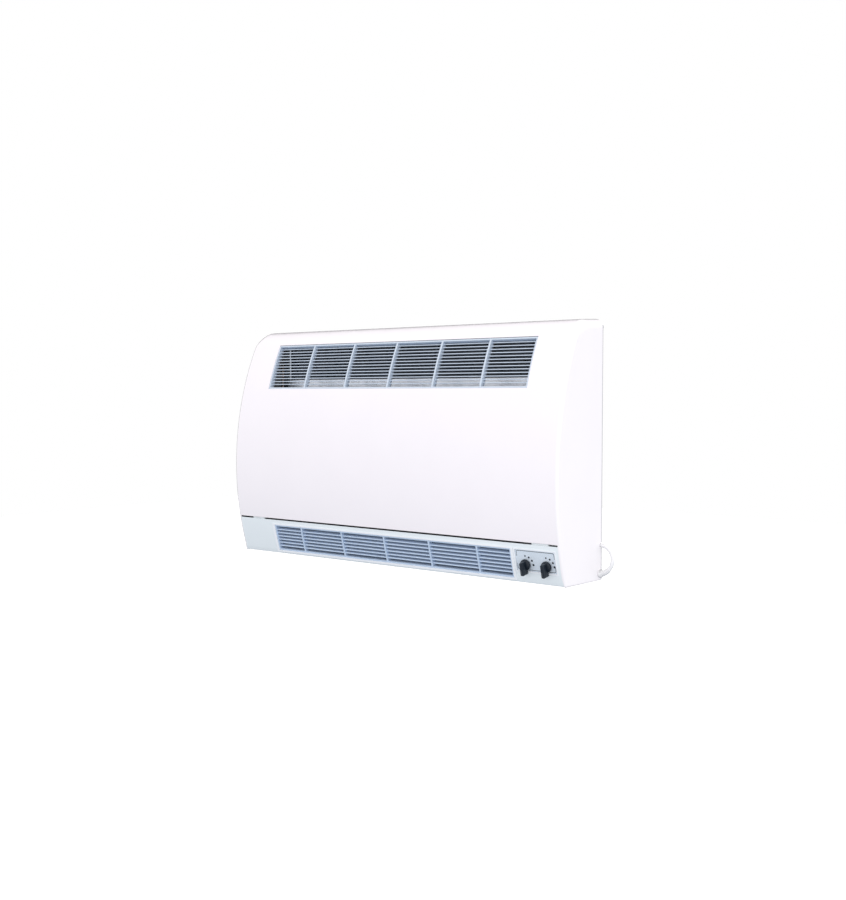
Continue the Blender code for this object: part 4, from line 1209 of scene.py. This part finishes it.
def make_back_plate():
    """A pressed plate with a flanged top and bottom and four keyholes."""
    rear = [255, 259, 263, 267, 296]
    xs = [-x for x in reversed(rear)] + [-204, -196, 196, 204] + rear
    zs = [8, 9.5, 61, 79]
    for level in BEAD_LEVELS:
        zs += [level + step for step in (-7, -6, -5, -4, -3, 3, 4, 5, 6, 7)]
    zs += [341, 359, 420, 421.5]

    def place(x, y, z):
        return (x, y - pressed(x, z), z)

    def is_solid(i, j, k):
        if k in (0, len(zs) - 2):
            return True
        return j == 1 and not (i in (5, 7) and k in (2, len(zs) - 4))

    plate = cell_solid(xs, (-14, -1.5, 0), zs, place, is_solid)
    add_piece("back_pan", plate, "galvanised_steel", "back_plate", smooth=40)


def screw_head(radius, height, recess=True):
    """A pan head with a cross recess, standing on z = 0."""
    r, h = radius, height
    profile = ((0, -0.2), (r, -0.2), (r, 0.35 * h), (0.86 * r, 0.75 * h), (0.55 * r, h), (0, h))
    head = turned(profile, 36)
    if recess:
        for turn in (0, 90):
            arm = block((-0.5 * r, -0.11 * r, 0.45 * h), (0.5 * r, 0.11 * r, h + 0.4))
            head = carved(head, moved(arm, Matrix.Rotation(math.radians(turn), 4, "Z")))
    return head


def carved(bm, tool):
    """The first bmesh with the second cut out of it."""
    objects = []
    for part in (bm, tool):
        bmesh.ops.recalc_face_normals(part, faces=part.faces)
        mesh = bpy.data.meshes.new("carving")
        part.to_mesh(mesh)
        part.free()
        objects.append(new_object("carving", mesh))
    cut = objects[0].modifiers.new("cut", "BOOLEAN")
    cut.object = objects[1]
    cut.solver = "EXACT"
    result = objects[0].evaluated_get(bpy.context.evaluated_depsgraph_get()).to_mesh()
    whole = bmesh.new()
    whole.from_mesh(result)
    for obj in objects:
        bpy.data.objects.remove(obj)
    return whole


def make_screws():
    """The two screws up through the fascia's underside."""
    level = 2.2
    for name, x in (("left", -240), ("right", 240)):
        where = at(x, -90, level)
        head = moved(screw_head(3.8, 1.8), where @ Matrix.Rotation(math.pi, 4, "X"))
        shank = [turned(((0, 0), (1.7, 0), (1.7, 8.4), (0, 10)), 24)]
        for i in range(2, 8):
            thread = turned(((1.6, 0), (2.05, 0.3), (1.6, 0.6)), 24)
            shank.append(moved(thread, at(0, 0, i * 1.05)))
        screw = merged(head, moved(merged(*shank), where))
        add_piece(f"fascia_screw_{name}", screw, "zinc_screw", f"casing_screw_{name}", smooth=35)


def make_box_cover():
    """The electrical box's lid with a raised field and a screw in two of its corners."""
    front = -66.6
    lid = block((304, front - 1.2, 7), (352, front + 0.3, 58), 0.4)
    field = block((309, front - 1.9, 12), (347, front - 1, 53), 0.7, 3)
    add_piece("box_cover", merged(lid, field), "galvanised_steel", "electrical_box_lid", smooth=35)
    heads = []
    for x, z in ((306.6, 9.6), (349.4, 55.4)):
        heads.append(moved(screw_head(2.2, 1.3, False), at(x, front - 1.2, z) @ FACING_FRONT))
    add_piece("box_cover_screws", merged(*heads), "zinc_screw", smooth=35)


def make_terminals():
    """A four-way terminal strip with two screws in each way."""
    parts = [block((310, -24, 12), (346, -15.5, 27), 0.6)]
    tops = []
    for i in range(4):
        x = 314.5 + 9 * i
        parts.append(block((x - 3.6, -31, 13.2), (x + 3.6, -22, 25.8), 0.8))
        for z in (16.4, 22.6):
            post = turned(((0, -0.2), (2, -0.2), (2, 0.5), (1.6, 0.8), (0, 0.8)), 24)
            tops.append(moved(post, at(x, -30.6, z) @ FACING_FRONT))
    add_piece("terminal_strip", merged(*parts), "cream_plastic", "terminal_block", smooth=35)
    add_piece("terminal_screws", merged(*tops), "brass", smooth=35)


def make_capacitor():
    """The fan's run capacitor: a crimped can with two tags."""
    can = [(0, -20), (10, -20), (11.1, -19.4), (11.5, -18), (11.5, 15.6), (11.1, 16.2)]
    can += [(11.5, 16.8), (11.4, 18.4), (9.4, 18.6), (9.2, 17.8), (0, 17.8)]
    where = at(328, -41, 41) @ RESTING_ON_X
    add_piece("run_capacitor", moved(turned(can, 48), where), "cream_plastic", "fan_capacitor", smooth=35)
    tags = [block((x - 0.4, -2.4, 17.5), (x + 0.4, 2.4, 20), 0.15) for x in (-3.5, 3.5)]
    add_piece("capacitor_tags", moved(merged(*tags), where), "zinc_screw")


def make_switches():
    """The speed switch and the room thermostat behind their dials, with rows of tags."""
    neck = ((0, -19), (6.5, -19), (6.5, -16.6), (6, -16), (0, -16))
    switches = (("speed_switch", "speed", 9.8, 4), ("room_thermostat", "thermostat", 14, 2))
    for name, dial, half, pins in switches:
        stand = dial_frame(DIALS[dial])
        body = block((-half, -13, -35), (half, 13, -20), 1.2, 3)
        shelf = block((0.6 - half, -12, -20.4), (half - 0.6, 12, -18), 0.5)
        whole = moved(merged(body, shelf, turned(neck, 36)), stand)
        add_piece(f"{name}_body", whole, "cream_plastic", name, smooth=35)
        tags = []
        for i in range(pins):
            x = (i - (pins - 1) / 2) * 1.4 * half / pins
            for y in (-8, 5):
                tags.append(block((x - 1.5, y, -38), (x + 1.5, y + 0.8, -34), 0.15))
        add_piece(f"{name}_tags", moved(merged(*tags), stand), "zinc_screw")


# ------------------------ stage


def make_world():
    """A white studio: a plain white backdrop, soft light from above and in front, dark far side."""
    world = bpy.data.worlds.new("studio")
    bpy.context.scene.world = world
    world.use_nodes = True
    tree = world.node_tree
    shown = wire(tree, tree.nodes["Background"], {"Color": (1, 1, 1, 1)})
    way = tree.nodes.new("ShaderNodeTexCoord").outputs["Generated"]
    height = add_node(tree, "SeparateXYZ", {"Vector": way}).outputs["Z"]
    sky = blend_colours(tree, spread(tree, height, 0, 1, -1, 1), SKY)
    far = add_node(tree, "VectorMath", {0: way, 1: FAR_SIDE})
    far.operation = "DOT_PRODUCT"
    shade = spread(tree, far.outputs["Value"], 1, FAR_SHADE, 0.45, 0.85)
    level = add_node(tree, "Math", {0: shade, 1: LIGHT_LEVEL})
    level.operation = "MULTIPLY"
    light = add_node(tree, "Background", {"Color": sky, "Strength": level.outputs["Value"]})
    seen = tree.nodes.new("ShaderNodeLightPath").outputs["Is Camera Ray"]
    sides = {"Fac": seen, 1: light.outputs["Background"], 2: shown.outputs["Background"]}
    mix = add_node(tree, "MixShader", sides)
    wire(tree, tree.nodes["World Output"], {"Surface": mix.outputs["Shader"]})


def make_floor():
    """A pale floor well below the heater, which gives no light of its own back to it."""
    mesh = bpy.data.meshes.new("floor")
    reach = 9
    level = -1.1
    corners = [(reach * x, reach * y, level) for x, y in ((-1, -1), (1, -1), (1, 1), (-1, 1))]
    mesh.from_pydata(corners, [], [(0, 1, 2, 3)])
    floor = new_object("floor", mesh)
    material, tree, shader, place = new_material("pale_floor")
    stops = ((0.3, (0.8, 0.8, 0.8)), (0.7, (0.83, 0.83, 0.83)))
    colour = blend_colours(tree, noise(tree, place, 3, 4), stops)
    wire(tree, shader, {"Base Color": colour, "Roughness": 0.9})
    wire(tree, shader, {"Emission Color": (1, 1, 1, 1), "Emission Strength": 0.4})
    mesh.materials.append(material)
    floor.visible_diffuse = False
    floor.visible_glossy = False


def make_lights():
    """Square lamps that all point at the heater."""
    for name, place, size, power in LAMPS:
        data = bpy.data.lights.new(name, "AREA")
        data.size = size
        data.energy = power
        lamp = new_object(name, data)
        lamp.location = place
        towards = Vector((0.2, 0, 0)) - Vector(place)
        lamp.rotation_euler = towards.to_track_quat("-Z", "Y").to_euler()
        lamp.visible_camera = False


def dress_cad_nodes():
    """Give each carried-over CAD node its slot's material."""
    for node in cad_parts.values():
        for i, slot in enumerate(node.material_slots):
            node.data.materials[i] = MATERIALS[slot.material.name.split(".")[0]]
        node.data.shade_smooth()
        node.data.set_sharp_from_angle(angle=math.radians(35))


make_camera()
make_flex()
bpy.context.scene.view_settings.view_transform = "Standard"
make_world()
make_floor()
make_lights()
dress_cad_nodes()
make_casing()
make_fascia()
make_grilles()
make_control_plate()
make_knobs()
make_fins()
make_coil_ends()
make_tubes()
make_tails()
make_duct()
make_impeller()
make_motor()
make_back_plate()
make_screws()
make_box_cover()
make_terminals()
make_capacitor()
make_switches()
